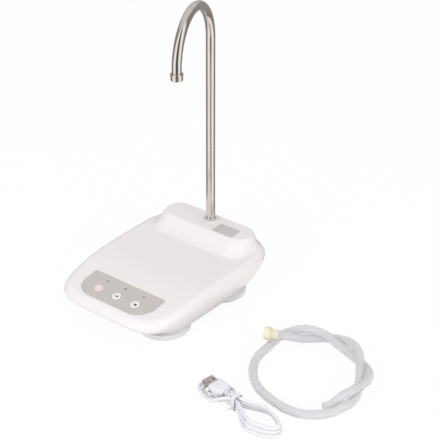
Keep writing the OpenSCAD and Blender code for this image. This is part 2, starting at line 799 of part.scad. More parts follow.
seal_s = 0.6;
seal_gap = 0.03;
groove_r = tube_r + 2 * seal_s + 2 * seal_gap;
seal_zs = [tube_low + 4, tube_low + 9];
module socket_rings() {
  color([0.15, 0.15, 0.15])
  for (z = seal_zs) translate([0, spout_y, z]) rotate_extrude()
    translate([tube_r + seal_gap + seal_s, 0]) circle(seal_s, $fn = 24);
}

// the spout's plane, turned about the tube's foot
module on_spout() { translate([0, spout_y, 0]) rotate([0, 0, spout_turn]) children(); }
// tube path: up, round the half bend, straight down
neck_z = hump_z + leg_h;
module spout_bar(r, more) {
  translate([0, 0, tube_low - more]) cylinder(h = neck_z - tube_low + more, r = r);
  translate([0, -neck_r, neck_z]) rotate([90, 0, 90]) rotate_extrude(angle = 180)
    translate([neck_r, 0]) circle(r);
  translate([0, -2 * neck_r, neck_z - drop_l - more]) cylinder(h = drop_l + more, r = r);
}
// places things at the tube's end, with z along the outflow
module at_tip() {
  on_spout() translate([0, -2 * neck_r, neck_z - drop_l]) rotate([180, 0, 0]) children();
}
module spout_tube() {
  color([0.75, 0.75, 0.76])
  on_spout() difference() {
    spout_bar(tube_r, 0);
    spout_bar(tube_r - tube_wall, 1);
  }
}
module spout_collar() {
  color([0.78, 0.78, 0.79])
  on_spout() translate([0, 0, rim_top + 0.3]) rotate_extrude() polygon([
    [tube_r, 0], [collar_r, 0], [collar_r, collar_h - 0.5], [collar_r - 0.5, collar_h], [tube_r, collar_h]]);
}
nozzle_lap = 4.4;
module spout_nozzle() {
  color([0.78, 0.78, 0.79])
  at_tip() difference() {
    translate([0, 0, -nozzle_lap]) rotate_extrude() polygon([
      [tube_r + nozzle_fit, 0], [nozzle_r - 0.6, 0], [nozzle_r, 0.6], [nozzle_r, 1.8], [nozzle_r - 0.35, 2.1],
      [nozzle_r - 0.35, nozzle_l - 0.5], [nozzle_r - 0.8, nozzle_l], [tube_r - 0.6, nozzle_l],
      [tube_r - 0.6, nozzle_lap], [tube_r + nozzle_fit, nozzle_lap]]);
  }
}
nozzle_fit = 0.35;
module nozzle_screen() {
  color([0.4, 0.4, 0.42])
  at_tip() difference() {
    translate([0, 0, 0.6]) cylinder(h = 1.6, r = tube_r - 0.6);
    for (a = [0 : 60 : 300]) rotate(a) translate([2.4, 0, 0]) cylinder(h = 4, r = 0.7, $fn = 16);
    cylinder(h = 4, r = 0.7, $fn = 16);
  }
}

// swept tubes

function unit(v) = v / norm(v);
function tangents(p) = [for (i = [0 : len(p) - 1])
  unit(p[min(i + 1, len(p) - 1)] - p[max(i - 1, 0)])];
// rings of points round a path, square to it and level sideways
function sweep_pts(p, r, n) =
  let (t = tangents(p))
  [for (i = [0 : len(p) - 1], k = [0 : n - 1])
    let (s = unit(cross(t[i], [0, 0, 1])), w = cross(s, t[i]), a = 360 * (k + 0.5) / n)
    p[i] + r / cos(180 / n) * (cos(a) * s + sin(a) * w)];
function sweep_sides(m, n, base, flip) = [for (i = [0 : m - 2], k = [0 : n - 1])
  let (a = base + i * n + k, b = base + i * n + (k + 1) % n, c = b + n, d = a + n) each
  flip ? [[a, c, b], [a, d, c]] : [[a, b, c], [a, c, d]]];
function fan(first, n, flip) = [for (k = [1 : n - 2])
  flip ? [first, first + k, first + k + 1] : [first, first + k + 1, first + k]];
module solid_sweep(p, r, n) {
  m = len(p);
  polyhedron(points = sweep_pts(p, r, n),
    faces = concat(sweep_sides(m, n, 0, false), fan(0, n, false), fan((m - 1) * n, n, true)), convexity = 10);
}
module hose_sweep(p, r, bore, n) {
  m = len(p);
  h = m * n;
  polyhedron(points = concat(sweep_pts(p, r, n), sweep_pts(p, bore, n)),
    faces = concat(sweep_sides(m, n, 0, false), sweep_sides(m, n, h, true),
      [for (k = [0 : n - 1]) let (a = k, b = (k + 1) % n) each [[a, h + b, b], [a, h + a, h + b]]],
      [for (k = [0 : n - 1]) let (a = h - n + k, b = h - n + (k + 1) % n) each
        [[a, b, h + b], [a, h + b, h + a]]]), convexity = 10);
}
// least clear gap of a tube to itself, between points more than skip steps apart
function self_gap(p, r, skip) =
  min([for (i = [0 : len(p) - 1 - skip], j = [i + skip : len(p) - 1]) norm(p[i] - p[j])]) - 2 * r;

// suction hose: one and a half turns, the lap twisted like a two-strand rope

hose_c = [200.2, -31.5];
ring_dir = 130;
lap_gap = 0.5;
lap_off = hose_r + lap_gap / 2;
lap_cross = 116;
lap_half = 58;
lap_to = lap_cross - 2.5 * lap_half;
lap_from = 132;
hose_end_a = -40;
lead = [[152.6, -12, 15.7], [156.2, -10.4, 15.7], [159.6, -7.4, 14.8], [162.2, -2.6, 12.4], [163.8, 3, 8.8]];

// twist angle of the first strand at a ring angle; the second is opposite
function lap_turn(a) = -90 + (lap_cross - max(a, lap_to)) * 180 / lap_half;
function lap_side(a, lap) = cos(lap_turn(a) + 180 * lap);
function lap_lift(a, lap) = sin(lap_turn(a) + 180 * lap);
// share of the twist that applies at an angle of the whole run
function lap_share(a) =
  a > -100 ? ease((a + 100) / 40) : ease((-a - 170) / 40);
function hose_pt(a) =
  let (lap = a < -140 ? 1 : 0, b = a + 360 * lap, w = lap_share(a),
       lift = ease((b + 36) / 18),
       rr = ring_wide + w * lap_off * lap_side(b, lap),
       p = rr * cos(b - ring_dir) * ring_long / ring_wide,
       q = rr * sin(b - ring_dir),
       z = hose_r + w * lap_off * lift * (1 + lap_lift(b, lap)))
  [hose_c[0] + p * cos(ring_dir) - q * sin(ring_dir),
   hose_c[1] + p * sin(ring_dir) + q * cos(ring_dir), z + 0.05];
hose_steps = 70;
hose_path = concat(lead,
  [for (i = [0 : hose_steps]) hose_pt(lap_from - i * (lap_from + 360 - hose_end_a) / hose_steps)]);
echo(hose_self_gap = self_gap(hose_path, hose_r, 4));

module suction_hose() {
  color([0.85, 0.86, 0.88])
  hose_sweep(hose_path, hose_r, hose_bore, 10);
}
stub_l = 5;
stub_fit = 0.2;
stub_bore = 2;
barrel_r = hose_r + 0.6;
groove_l = 1.4;
mouth_wall = 1.4;
fitting_l = fitting_barrel + fitting_flange;
module hose_fitting() {
  color([0.93, 0.88, 0.6])
  translate(lead[0]) rotate([0, 0, atan2(lead[1][1] - lead[0][1], lead[1][0] - lead[0][0])])
    rotate([0, -90, 0]) rotate_extrude() polygon([
      [stub_bore, -stub_l], [hose_bore - stub_fit - 0.4, -stub_l], [hose_bore - stub_fit, -stub_l + 0.8],
      [hose_bore - stub_fit, 0], [barrel_r, 0], [barrel_r, fitting_barrel - groove_l - 0.5],
      [barrel_r - 0.5, fitting_barrel - groove_l], [barrel_r - 0.5, fitting_barrel],
      [fitting_r - 0.6, fitting_barrel], [fitting_r, fitting_barrel + 0.6],
      [fitting_r, fitting_l - 0.8], [fitting_r - 0.8, fitting_l],
      [fitting_r - mouth_wall, fitting_l], [fitting_r - mouth_wall, fitting_barrel + mouth_wall],
      [stub_bore, fitting_barrel + mouth_wall]]);
}

// charging cable: a hank of stacked loops, drawn in at the tie

hank_at = [175.5, -111];
hank_dir = -10;
hank_turns = 2.5;
hank_mid = (hank_right - hank_left) / 2;
hank_half = (hank_right + hank_left) / 2;
waist = cable_r + 0.3;
hank_step = 2 * cable_r + 0.6;
hank_z = cable_r + 0.05;
// thickness of the tie's band, and the rise of the hank over it
tie_t = 0.7;
waist_lift = tie_t + 0.2;
// the second small loop lies round the first, and both come down to the table
hank_nest = hank_step + 0.3;
// half width of the loops at a distance along the hank
function hank_width(s, turn) = s > 0
  ? waist + (hank_wide - 2.2 * turn - waist) * ease(s / 32)
  : waist + (hank_narrow - hank_nest - waist) * ease(-s / 26) + hank_nest * floor(turn) * ease((-s - 3) / 11);
// the small loops end bluntly
function hank_round(a, s) = s > 0 ? sin(a) : sign(sin(a)) * pow(abs(sin(a)), 0.6);
function hank_pt(a) =
  let (turn = (a + 90) / 360,
       draw = cos(a) < 0 ? -hank_nest * (1 - floor(turn)) * cos(a) : a > 0 ? 0.6 * turn : 0,
       s = hank_mid + (hank_half - draw) * cos(a),
       low = s > 0 ? 1 : 1 - 0.75 * ease((-s - 9) / 14))
  [s, hank_round(a, s) * hank_width(s, turn),
   hank_z + hank_step * turn * low + waist_lift * (1 - ease(abs(s) / 20))];
hank_last = -90 + 360 * hank_turns;
// the two plugs: length, width and height of the grip, length of the metal tip
usb_l = 18;
usb_w = 15.4;
usb_h = 7;
usb_tip = 10.5;
micro_l = 15;
micro_w = 9.6;
micro_h = 5.4;
micro_tip = 5.5;
lead_low = micro_h / 2 + 0.25;
lead_high = lead_low + micro_h / 2 + usb_h / 2 + 0.3;
lead_top = hank_z + hank_step * hank_turns + waist_lift;
// where the cable enters each plug, along and across the hank
usb_at = [-12, 0.5, lead_high];
micro_at = [-12.5, -1.5, lead_low];
hank_local = concat(
  [micro_at, micro_at + [2.5, 0, 0], micro_at + [6.5, 0.2, -0.4], [-2.5, -1.8, 2.45]],
  [for (i = [0 : 96]) hank_pt(-90 + i * (hank_last + 90) / 96)],
  [[-2.5, 1.7, lead_top - 0.1], [-7, 0.9, lead_top - 0.6], usb_at + [2, 0, 0], usb_at]);
function hank_world(p) = [hank_at[0] + p[0] * cos(hank_dir) - p[1] * sin(hank_dir),
                          hank_at[1] + p[0] * sin(hank_dir) + p[1] * cos(hank_dir), p[2]];
hank_path = [for (p = hank_local) hank_world(p)];
echo(cable_self_gap = self_gap(hank_path, cable_r, 4));

module on_hank() { translate([hank_at[0], hank_at[1], 0]) rotate([0, 0, hank_dir]) children(); }
module charge_cable() {
  color([0.96, 0.96, 0.97])
  solid_sweep(hank_path, cable_r, 8);
}
// rounded rectangle, x being the height of a plug and y its width
module round_rect(h, w, r) {
  square([h - 2 * r, w], center = true);
  square([h, w - 2 * r], center = true);
  for (sx = [-1, 1], sy = [-1, 1])
    translate([sx * (h / 2 - r), sy * (w / 2 - r)]) circle(r, $fn = 32);
}
// places plug outlines along the hank, from the cable's end to the plug's tip
module on_plug(at) { on_hank() translate(at) rotate([0, -90, 0]) children(); }
relief_l = 3;
neck_l = 2.4;
shoulder_l = 1.2;
// a plug grip: ringed strain relief, neck, shoulder and rounded body
module grip(l, w, h, at) {
  on_plug(at) {
    cylinder(h = relief_l + 0.1, r = cable_r + 0.4);
    for (d = [0.2, 1.7]) translate([0, 0, d]) cylinder(h = 0.8, r = cable_r + 0.8);
    translate([0, 0, relief_l]) linear_extrude(neck_l + 0.1) round_rect(h - 2.2, w - 4.4, 1.4);
    translate([0, 0, relief_l + neck_l]) linear_extrude(shoulder_l + 0.1) round_rect(h - 0.9, w - 1.4, 2);
    translate([0, 0, relief_l + neck_l + shoulder_l])
      linear_extrude(l - relief_l - neck_l - shoulder_l) round_rect(h, w, 2);
  }
}
module usb_grip() { color([0.96, 0.96, 0.97]) grip(usb_l, usb_w, usb_h, usb_at); }
module micro_grip() { color([0.96, 0.96, 0.97]) grip(micro_l, micro_w, micro_h, micro_at); }
// folded metal shells, open at the tip, with the contact tongue inside
module usb_shell() {
  color([0.78, 0.78, 0.8])
  on_plug(usb_at) translate([0, 0, usb_l]) difference() {
    linear_extrude(usb_tip) round_rect(4.5, 12, 0.5);
    translate([0.95, 0, 1]) linear_extrude(usb_tip) round_rect(2, 11.3, 0.3);
    for (s = [-1, 1]) translate([1.5, s * 3 - 1.1, 4]) cube([2, 2.2, 2.2]);
  }
}
module micro_shell() {
  color([0.78, 0.78, 0.8])
  on_plug(micro_at) translate([0, 0, micro_l]) difference() {
    linear_extrude(micro_tip) polygon([[0.9, -3.4], [0.9, 3.4], [-0.2, 3.4],
      [-0.9, 2.7], [-0.9, -2.7], [-0.2, -3.4]]);
    translate([0.15, 0, 1]) linear_extrude(micro_tip) square([0.8, 6], center = true);
  }
}
tie_w = 4;
tie_fit = 1.3;
tie_low = 0.02;
tie_high = hank_z + hank_step * hank_turns + waist_lift + cable_r + 0.9;
tie_half = waist + cable_r + tie_fit;
tail_l = 7;
tail_r = 0.9;
module cable_tie() {
  color([0.93, 0.93, 0.94])
  on_hank() translate([0, 0, (tie_low + tie_high + tie_t) / 2]) {
    rotate([0, -90, 0]) translate([0, 0, -tie_w / 2]) linear_extrude(tie_w) difference() {
      round_rect(tie_high + tie_t - tie_low, 2 * (tie_half + tie_t), 2.2);
      round_rect(tie_high - tie_t - tie_low, 2 * tie_half, 2.2 - tie_t);
    }
    // twisted tail of the tie
    translate([0, -tie_half - tie_t + 0.2, -3]) rotate([90, 0, 0]) cylinder(h = tail_l, r = tail_r, $fn = 16);
  }
}

top_shell();
bottom_cover();
cover_screws();
feet();
foot_pads();
control_panel();
power_key();
small_cup_key();
large_cup_key();
indicator_lamps();
control_board();
key_switches();
board_screws();
battery_cell();
battery_cradle();
motor_can();
motor_shaft();
drive_gear();
pump_mount();
pump_body();
pump_cover();
idler_pin();
idler_gear();
shaft_seal();
inlet_nipple();
inlet_hose();
outlet_hose();
spout_socket();
socket_rings();
spout_tube();
spout_collar();
spout_nozzle();
nozzle_screen();
charge_board();
charge_socket();
suction_hose();
hose_fitting();
charge_cable();
usb_grip();
usb_shell();
micro_grip();
micro_shell();
cable_tie();
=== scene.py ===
import json
import math

import bmesh
import bpy
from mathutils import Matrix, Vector


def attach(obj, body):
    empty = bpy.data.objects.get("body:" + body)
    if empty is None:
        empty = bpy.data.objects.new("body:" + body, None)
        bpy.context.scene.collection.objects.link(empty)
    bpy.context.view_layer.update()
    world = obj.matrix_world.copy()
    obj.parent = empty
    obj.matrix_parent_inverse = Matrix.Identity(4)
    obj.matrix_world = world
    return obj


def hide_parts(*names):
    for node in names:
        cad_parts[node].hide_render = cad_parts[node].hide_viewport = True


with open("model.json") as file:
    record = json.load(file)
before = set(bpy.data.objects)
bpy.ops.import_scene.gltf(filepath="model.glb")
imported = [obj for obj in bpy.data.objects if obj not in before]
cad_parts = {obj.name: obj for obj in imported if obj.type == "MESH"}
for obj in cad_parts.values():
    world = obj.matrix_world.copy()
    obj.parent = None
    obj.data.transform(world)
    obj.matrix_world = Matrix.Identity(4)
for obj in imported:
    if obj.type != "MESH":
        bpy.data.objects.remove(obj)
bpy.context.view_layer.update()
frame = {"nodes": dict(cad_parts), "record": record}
MM = 0.001
scene = bpy.context.scene


# camera: the photograph's view, 440 x 440

cam_data = bpy.data.cameras.new("camera")
cam = bpy.data.objects.new("camera", cam_data)
scene.collection.objects.link(cam)
cam.location = (0.6897, -0.8050, 0.6955)
cam.rotation_euler = (math.radians(60.01), 0, math.radians(38.088))
cam_data.sensor_fit = "HORIZONTAL"
cam_data.sensor_width = 36
cam_data.lens = 98.8
cam_data.shift_x = 0.0214
cam_data.clip_start = 0.05
cam_data.clip_end = 30
scene.camera = cam


# mesh helpers: places in millimetres, angles in degrees

WELD = 1e-6  # metres within which a CAD mesh's vertices become one
COPLANAR = 1  # faces that meet at less than this become one
BEVEL_STEPS, BEVEL_FROM, BEVEL_SHARP = 3, 40, 35
SWEEP_SHARP = 40
UV_PER_MM = 0.01  # along a swept tube


def metres(p):
    return tuple(c * MM for c in p)


def same(p):
    return p


def smooth(me, sharp=None):
    """Shades a mesh smooth, but for edges past the sharp angle."""
    for p in me.polygons:
        p.use_smooth = True
    if sharp:
        me.set_sharp_from_angle(angle=math.radians(sharp))


def add(name, verts, faces, sharp=None, uvs=None):
    """A new smooth mesh object. uvs gives one pair per vertex."""
    me = bpy.data.meshes.new(name)
    me.from_pydata([metres(v) for v in verts], [], faces)
    me.update()
    smooth(me, sharp)
    if uvs:
        layer = me.uv_layers.new(name="uv")
        for loop in me.loops:
            layer.data[loop.index].uv = uvs[loop.vertex_index]
    ob = bpy.data.objects.new(name, me)
    scene.collection.objects.link(ob)
    return ob


def apply_modifiers(ob):
    """Makes what an object's modifiers show its own mesh."""
    shown = ob.evaluated_get(bpy.context.evaluated_depsgraph_get())
    flat = bpy.data.meshes.new_from_object(shown)
    ob.modifiers.clear()
    ob.data = flat


def circle(r, n, cx=0.0, cy=0.0):
    angles = [2 * math.pi * k / n for k in range(n)]
    return [(cx + r * math.cos(a), cy + r * math.sin(a)) for a in angles]


def prism(outline, z0, z1, place):
    """Vertices and faces of an upright prism."""
    n = len(outline)
    verts = [place((x, y, z)) for z in (z0, z1) for x, y in outline]
    faces = [tuple(range(n - 1, -1, -1)), tuple(range(n, 2 * n))]
    faces += [(k, (k + 1) % n, n + (k + 1) % n, n + k) for k in range(n)]
    return verts, faces


def joined(parts):
    """One list of vertices and one of faces from several."""
    verts, faces = [], []
    for v, f in parts:
        faces += [tuple(i + len(verts) for i in q) for q in f]
        verts += v
    return verts, faces


def cut(ob, parts):
    """Takes closed shapes, given as vertices and faces, out of an object."""
    cutter = add("cutter", *joined(parts))
    mod = ob.modifiers.new("openings", "BOOLEAN")
    mod.operation = "DIFFERENCE"
    mod.solver = "EXACT"
    mod.object = cutter
    apply_modifiers(ob)
    bpy.data.objects.remove(cutter)


def revolve(name, profile, n, place, sharp):
    """Turns (radius, height) pairs round the local z axis."""
    verts, faces, rows = [], [], []
    for r, z in profile:
        if r == 0:
            rows.append([len(verts)] * n)
            verts.append(place((0, 0, z)))
            continue
        rows.append(list(range(len(verts), len(verts) + n)))
        verts += [place((x, y, z)) for x, y in circle(r, n)]
    for lo, hi in zip(rows, rows[1:]):
        for k in range(n):
            j = (k + 1) % n
            faces.append(list(dict.fromkeys((lo[k], lo[j], hi[j], hi[k]))))
    return add(name, verts, faces, sharp)


def catmull(pts, per):
    """A smooth line through the points, with per steps between two of them."""
    out = []
    p = [Vector(q) for q in pts]
    for i in range(len(p) - 1):
        a = p[i - 1] if i else 2 * p[0] - p[1]
        b, c = p[i], p[i + 1]
        d = p[i + 2] if i + 2 < len(p) else 2 * p[-1] - p[-2]
        for s in range(per):
            t = s / per
            out.append(0.5 * (2 * b + (c - a) * t + (2 * a - 5 * b + 4 * c - d) * t * t
                              + (3 * b - a - 3 * c + d) * t ** 3))
    out.append(p[-1])
    return out


def rings(path, radius, n, side):
    """Rings of points round a path, turned along with it and not about it."""
    out = []
    angles = [2 * math.pi * k / n for k in range(n)]
    for i, p in enumerate(path):
        t = (path[min(i + 1, len(path) - 1)] - path[max(i - 1, 0)]).normalized()
        side = (side - t * side.dot(t)).normalized()
        up = t.cross(side)
        out.append([p + radius * (math.cos(a) * side + math.sin(a) * up) for a in angles])
    return out


def sweep(name, path, radius, n, bore, side):
    """A tube along a path, open through its bore or, without one, closed at both ends."""
    verts, faces, uvs = [], [], []
    runs = [0.0]
    for a, b in zip(path, path[1:]):
        runs.append(runs[-1] + (b - a).length)
    m = len(path)
    for s, r in enumerate((radius, bore) if bore else (radius,)):
        for ring, along in zip(rings(path, r, n, side), runs):
            verts += ring
            uvs += [(k / n, along * UV_PER_MM) for k in range(n)]
        for i in range(m - 1):
            lo, hi = (s * m + i) * n, (s * m + i + 1) * n
            for k in range(n):
                j = (k + 1) % n
                q = [lo + k, lo + j, hi + j, hi + k]
                faces.append(q[::-1] if s else q)
    for i in (0, m - 1):
        outer, inner = i * n, (m + i) * n
        if bore:
            caps = [[outer + k, outer + (k + 1) % n, inner + (k + 1) % n, inner + k]
                    for k in range(n)]
        else:
            caps = [list(range(outer, outer + n))]
        faces += [q if i else q[::-1] for q in caps]
    return add(name, verts, faces, SWEEP_SHARP, uvs)


def bevelled(node, width):
    """A copy of a CAD node's mesh with softened edges, which replaces the node."""
    ob = bpy.data.objects.new(node + "_soft", frame["nodes"][node].data.copy())
    scene.collection.objects.link(ob)
    bm = bmesh.new()
    bm.from_mesh(ob.data)
    bmesh.ops.remove_doubles(bm, verts=bm.verts, dist=WELD)
    bmesh.ops.dissolve_limit(bm, angle_limit=math.radians(COPLANAR), verts=bm.verts,
                             edges=bm.edges)
    bm.to_mesh(ob.data)
    bm.free()
    smooth(ob.data)
    mod = ob.modifiers.new("soft edges", "BEVEL")
    mod.width = width * MM
    mod.segments = BEVEL_STEPS
    mod.limit_method = "ANGLE"
    mod.angle_limit = math.radians(BEVEL_FROM)
    apply_modifiers(ob)
    smooth(ob.data, BEVEL_SHARP)
    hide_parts(node)
    return ob


# materials: every one has its own tone and gloss from nodes, and nearly all a fine grain

MATS = {}
MIX_A, MIX_B, MIX_OUT = 6, 7, 2  # the colour sockets of a Mix node
BROAD_DETAIL, FINE_DETAIL = 3, 4
BUMP_DEPTH = 0.0002  # metres
LEAST_ROUGH = 0.02


def shader_node(nt, kind, **inputs):
    """A new node with constants on the inputs named, an underscore standing for a space."""
    node = nt.nodes.new(kind)
    for key, value in inputs.items():
        node.inputs[key.replace("_", " ")].default_value = value
    return node


def surface(name, colour, rough, tint=0.02, tint_scale=25.0, spread=0.06, grain=900.0, bump=0.04,
            stretch=None, uv=False, **sockets):
    """A Principled material whose tone, roughness and micro bump vary over the surface."""
    mat = bpy.data.materials.new(name)
    mat.use_nodes = True
    nt = mat.node_tree
    shader = nt.nodes["Principled BSDF"]
    coord = shader_node(nt, "ShaderNodeTexCoord")
    source = coord.outputs["UV" if uv else "Object"]
    if stretch:
        mapping = shader_node(nt, "ShaderNodeMapping", Scale=stretch)
        nt.links.new(source, mapping.inputs["Vector"])
        source = mapping.outputs["Vector"]
    broad = shader_node(nt, "ShaderNodeTexNoise", Scale=tint_scale, Detail=BROAD_DETAIL)
    nt.links.new(coord.outputs["Object"], broad.inputs["Vector"])
    mix = shader_node(nt, "ShaderNodeMix")
    mix.data_type = "RGBA"
    for socket, change in ((MIX_A, 1 - tint), (MIX_B, 1 + tint)):
        mix.inputs[socket].default_value = tuple(min(1, c * change) for c in colour) + (1,)
    nt.links.new(broad.outputs["Fac"], mix.inputs[0])
    nt.links.new(mix.outputs[MIX_OUT], shader.inputs["Base Color"])
    fine = shader_node(nt, "ShaderNodeTexNoise", Scale=grain, Detail=FINE_DETAIL)
    nt.links.new(source, fine.inputs["Vector"])
    span = shader_node(nt, "ShaderNodeMapRange", To_Min=max(LEAST_ROUGH, rough - spread),
                       To_Max=min(1, rough + spread))
    nt.links.new(fine.outputs["Fac"], span.inputs["Value"])
    nt.links.new(span.outputs["Result"], shader.inputs["Roughness"])
    if bump:
        relief = shader_node(nt, "ShaderNodeBump", Strength=bump, Distance=BUMP_DEPTH)
        nt.links.new(fine.outputs["Fac"], relief.inputs["Height"])
        nt.links.new(relief.outputs["Normal"], shader.inputs["Normal"])
    for key, value in sockets.items():
        shader.inputs[key.replace("_", " ")].default_value = value
    MATS[name] = mat


surface("white_gloss", (0.86, 0.827, 0.835), 0.11, tint=0.006, spread=0.025, grain=500, bump=0.008)
surface("white_matt", (0.76, 0.75, 0.75), 0.5, grain=1500, bump=0.12)
surface("foot_plastic", (0.78, 0.775, 0.775), 0.3, tint=0.01, grain=700, bump=0.02)
surface("pad_rubber", (0.42, 0.42, 0.42), 0.8, grain=2200, bump=0.25)
surface("panel_grey", (0.575, 0.532, 0.512), 0.34, tint=0.03, tint_scale=120, spread=0.05,
        grain=2600, bump=0.06)
surface("key_pink", (0.86, 0.785, 0.795), 0.35, tint=0.02, bump=0.02)
surface("key_white", (0.86, 0.85, 0.85), 0.35, tint=0.01, bump=0.02)
surface("lamp", (0.32, 0.27, 0.25), 0.2, bump=0.0)
surface("board", (0.02, 0.16, 0.06), 0.4, tint=0.15, tint_scale=400, grain=1200, bump=0.1)
surface("dark_plastic", (0.035, 0.035, 0.038), 0.5, tint=0.1, grain=1800, bump=0.15)
surface("cell", (0.05, 0.2, 0.45), 0.35, tint=0.06, grain=800, bump=0.05)
surface("screw_steel", (0.55, 0.55, 0.56), 0.3, tint=0.05, grain=3000, bump=0.08, Metallic=1.0)
surface("motor_steel", (0.5, 0.5, 0.52), 0.35, tint=0.05, grain=1, bump=0.06,
        stretch=(200, 3000, 3000), Metallic=1.0)
surface("gear_plastic", (0.82, 0.81, 0.74), 0.45, bump=0.06)
surface("pump_plastic", (0.74, 0.74, 0.70), 0.5, bump=0.08)
surface("seal_rubber", (0.02, 0.02, 0.02), 0.6, bump=0.1)
surface("inner_hose", (0.72, 0.73, 0.75), 0.4, bump=0.04)
surface("spout_steel", (0.80, 0.745, 0.70), 0.13, tint=0.03, tint_scale=60, spread=0.04, grain=1.0,
        bump=0.05, stretch=(260, 14, 1), uv=True, Metallic=1.0)
surface("port_steel", (0.62, 0.60, 0.58), 0.22, tint=0.05, tint_scale=300, grain=2500, bump=0.05,
        Metallic=1.0)
surface("hose_silicone", (0.915, 0.915, 0.93), 0.36, tint=0.01, tint_scale=60, spread=0.02,
        grain=300, bump=0.0, Transmission_Weight=0.55, IOR=1.12)
surface("fitting_yellow", (0.99, 0.97, 0.78), 0.3, tint=0.006, tint_scale=200, bump=0.02,
        Transmission_Weight=0.35, IOR=1.25)
surface("cable_white", (0.84, 0.83, 0.88), 0.38, tint=0.012, tint_scale=80, grain=1600, bump=0.05)
surface("label_silver", (0.58, 0.565, 0.555), 0.4, tint=0.05, tint_scale=300, grain=2600, bump=0.05)
surface("icon_dark", (0.03, 0.03, 0.033), 0.5, bump=0.02)
surface("icon_pink", (0.82, 0.50, 0.53), 0.5, bump=0.02)

for sub in frame["record"]["subparts"]:
    node = frame["nodes"][sub["node"]]
    node.data.materials.clear()
    node.data.materials.append(MATS[sub["material_slot"]])


def dress(piece, body, slot, mat=None):
    """Gives a piece its material, the one named or else its slot's, and its body."""
    piece.data.materials.clear()
    piece.data.materials.append(MATS[mat or slot])
    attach(piece, body)
    return piece


# sizes that the pieces share with the source, in millimetres and degrees

BODY_W, BODY_L, WIDEST_Y, FRONT_TAPER = 149.0, 198.0, 10.0, 0.08
TRAY_Z, WALL, EDGE_R = 37.0, 2.2, 8.0
SIDE_IN, REAR_IN, FRONT_IN, LIP_IN = 7.0, 15.0, 24.0, 2.6
HUMP_RISE, HUMP_D, HUMP_BACK_GAP, HUMP_END_GAP, HUMP_R = 14.0, 29.0, 12.5, 20.0, 14.0
HUMP_SLOPE, HUMP_END_SLOPE, HUMP_BACK_SLOPE = 21.0, 9.0, 6.0
PANEL_TILT, PANEL_W, PANEL_D, PANEL_R, PANEL_REAR_R = 6.8, 92.5, 35.2, 20.0, 2.5
PANEL_T, PANEL_GAP = 1.2, 9.0
KEY_R, KEY_PITCH, KEY_IN, LAMP_IN, LAMP_R = 5.0, 24.0, 13.9, 27.5, 1.2
FOOT_H, TUBE_R, TUBE_WALL, LEG_H = 7.0, 4.75, 0.8, 207.0
NECK_R, DROP_L, SPOUT_TURN = 45.5, 6.5, 18.0
SOCKET_R, SOCKET_RIM, SOCKET_DEPTH, SPOUT_IN = 7.6, 1.3, 18.0, 11.5
HOSE_R, HOSE_BORE, RING_WIDE, RING_LONG = 4.2, 3.0, 52.0, 56.7
CABLE_R, HANK_LEFT, HANK_RIGHT, HANK_WIDE, HANK_NARROW = 1.6, 45.0, 54.0, 18.0, 15.0
FIT, KEY_FIT = 0.15, 0.25

HALF_W, HALF_L = BODY_W / 2, BODY_L / 2
SPAN_FRONT, SPAN_REAR = HALF_L + WIDEST_Y, HALF_L - WIDEST_Y
FRONT_N, REAR_N = 6.0, 4.5
PANEL_YC = -HALF_L + PANEL_GAP + PANEL_D / 2
TILT_SOFT, TILT_GAP = 22.0, 2
TILT_Y = PANEL_YC + PANEL_D / 2 + TILT_SOFT + TILT_GAP
HUMP_BACK = HALF_L - HUMP_BACK_GAP
HUMP_FRONT = HUMP_BACK - HUMP_D
HUMP_HALF = HALF_W - HUMP_END_GAP
HUMP_Z = TRAY_Z + HUMP_RISE
SPOUT_Y = HUMP_BACK - SPOUT_IN


def clamp01(t):
    return min(1.0, max(0.0, t))


def ease(t):
    c = clamp01(t)
    return c * c * (3 - 2 * c)


def turned(x, y, degrees):
    c, s = math.cos(math.radians(degrees)), math.sin(math.radians(degrees))
    return x * c - y * s, x * s + y * c


# suction hose: the route of the source, in one smooth hollow tube

UP = Vector((0, 0, 1))
CORD_STEPS = 4  # between two points of a cord's route
TABLE_GAP = 0.05
HOSE_C, RING_DIR, HOSE_POINTS, HOSE_SIDES = (200.2, -31.5), 130.0, 70, 32
LAP_OFF, LAP_TWISTS = HOSE_R + 0.25, 2.5
LAP_CROSS, LAP_HALF, LAP_FROM, HOSE_END = 116.0, 58.0, 132.0, -40.0
LAP_TO = LAP_CROSS - LAP_TWISTS * LAP_HALF
# the route's angle falls from LAP_FROM: the twist fades out, and in again on the second turn
FADE_OUT, SECOND_TURN, FADE_IN, FADE = -100, -140, -170, 40
DOWN_AT, DOWN = -36, 18  # where the lap comes down to the table
LEAD = [(152.6, -12, 15.7), (156.2, -10.4, 15.7), (159.6, -7.4, 14.8), (162.2, -2.6, 12.4),
        (163.8, 3, 8.8)]


def hose_pt(a):
    lap = 1 if a < SECOND_TURN else 0
    b = a + 360 * lap
    w = ease((a - FADE_OUT) / FADE) if a > FADE_OUT else ease((FADE_IN - a) / FADE)
    turn = math.radians(-90 + (LAP_CROSS - max(b, LAP_TO)) * 180 / LAP_HALF + 180 * lap)
    r = RING_WIDE + w * LAP_OFF * math.cos(turn)
    z = HOSE_R + w * LAP_OFF * ease((b - DOWN_AT) / DOWN) * (1 + math.sin(turn))
    along = math.radians(b - RING_DIR)
    x, y = turned(r * math.cos(along) * RING_LONG / RING_WIDE, r * math.sin(along), RING_DIR)
    return HOSE_C[0] + x, HOSE_C[1] + y, z + TABLE_GAP


HOSE_SWEEP = LAP_FROM + 360 - HOSE_END
hose_pts = LEAD + [hose_pt(LAP_FROM - i * HOSE_SWEEP / HOSE_POINTS) for i in range(HOSE_POINTS + 1)]
hose_path = catmull(hose_pts, CORD_STEPS)
hose = sweep("hose_tube", hose_path, HOSE_R, HOSE_SIDES, HOSE_BORE, UP)
dress(hose, "base", "hose_silicone")
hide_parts("suction_hose")


# charging cable: the hank of the source, as one smooth cord

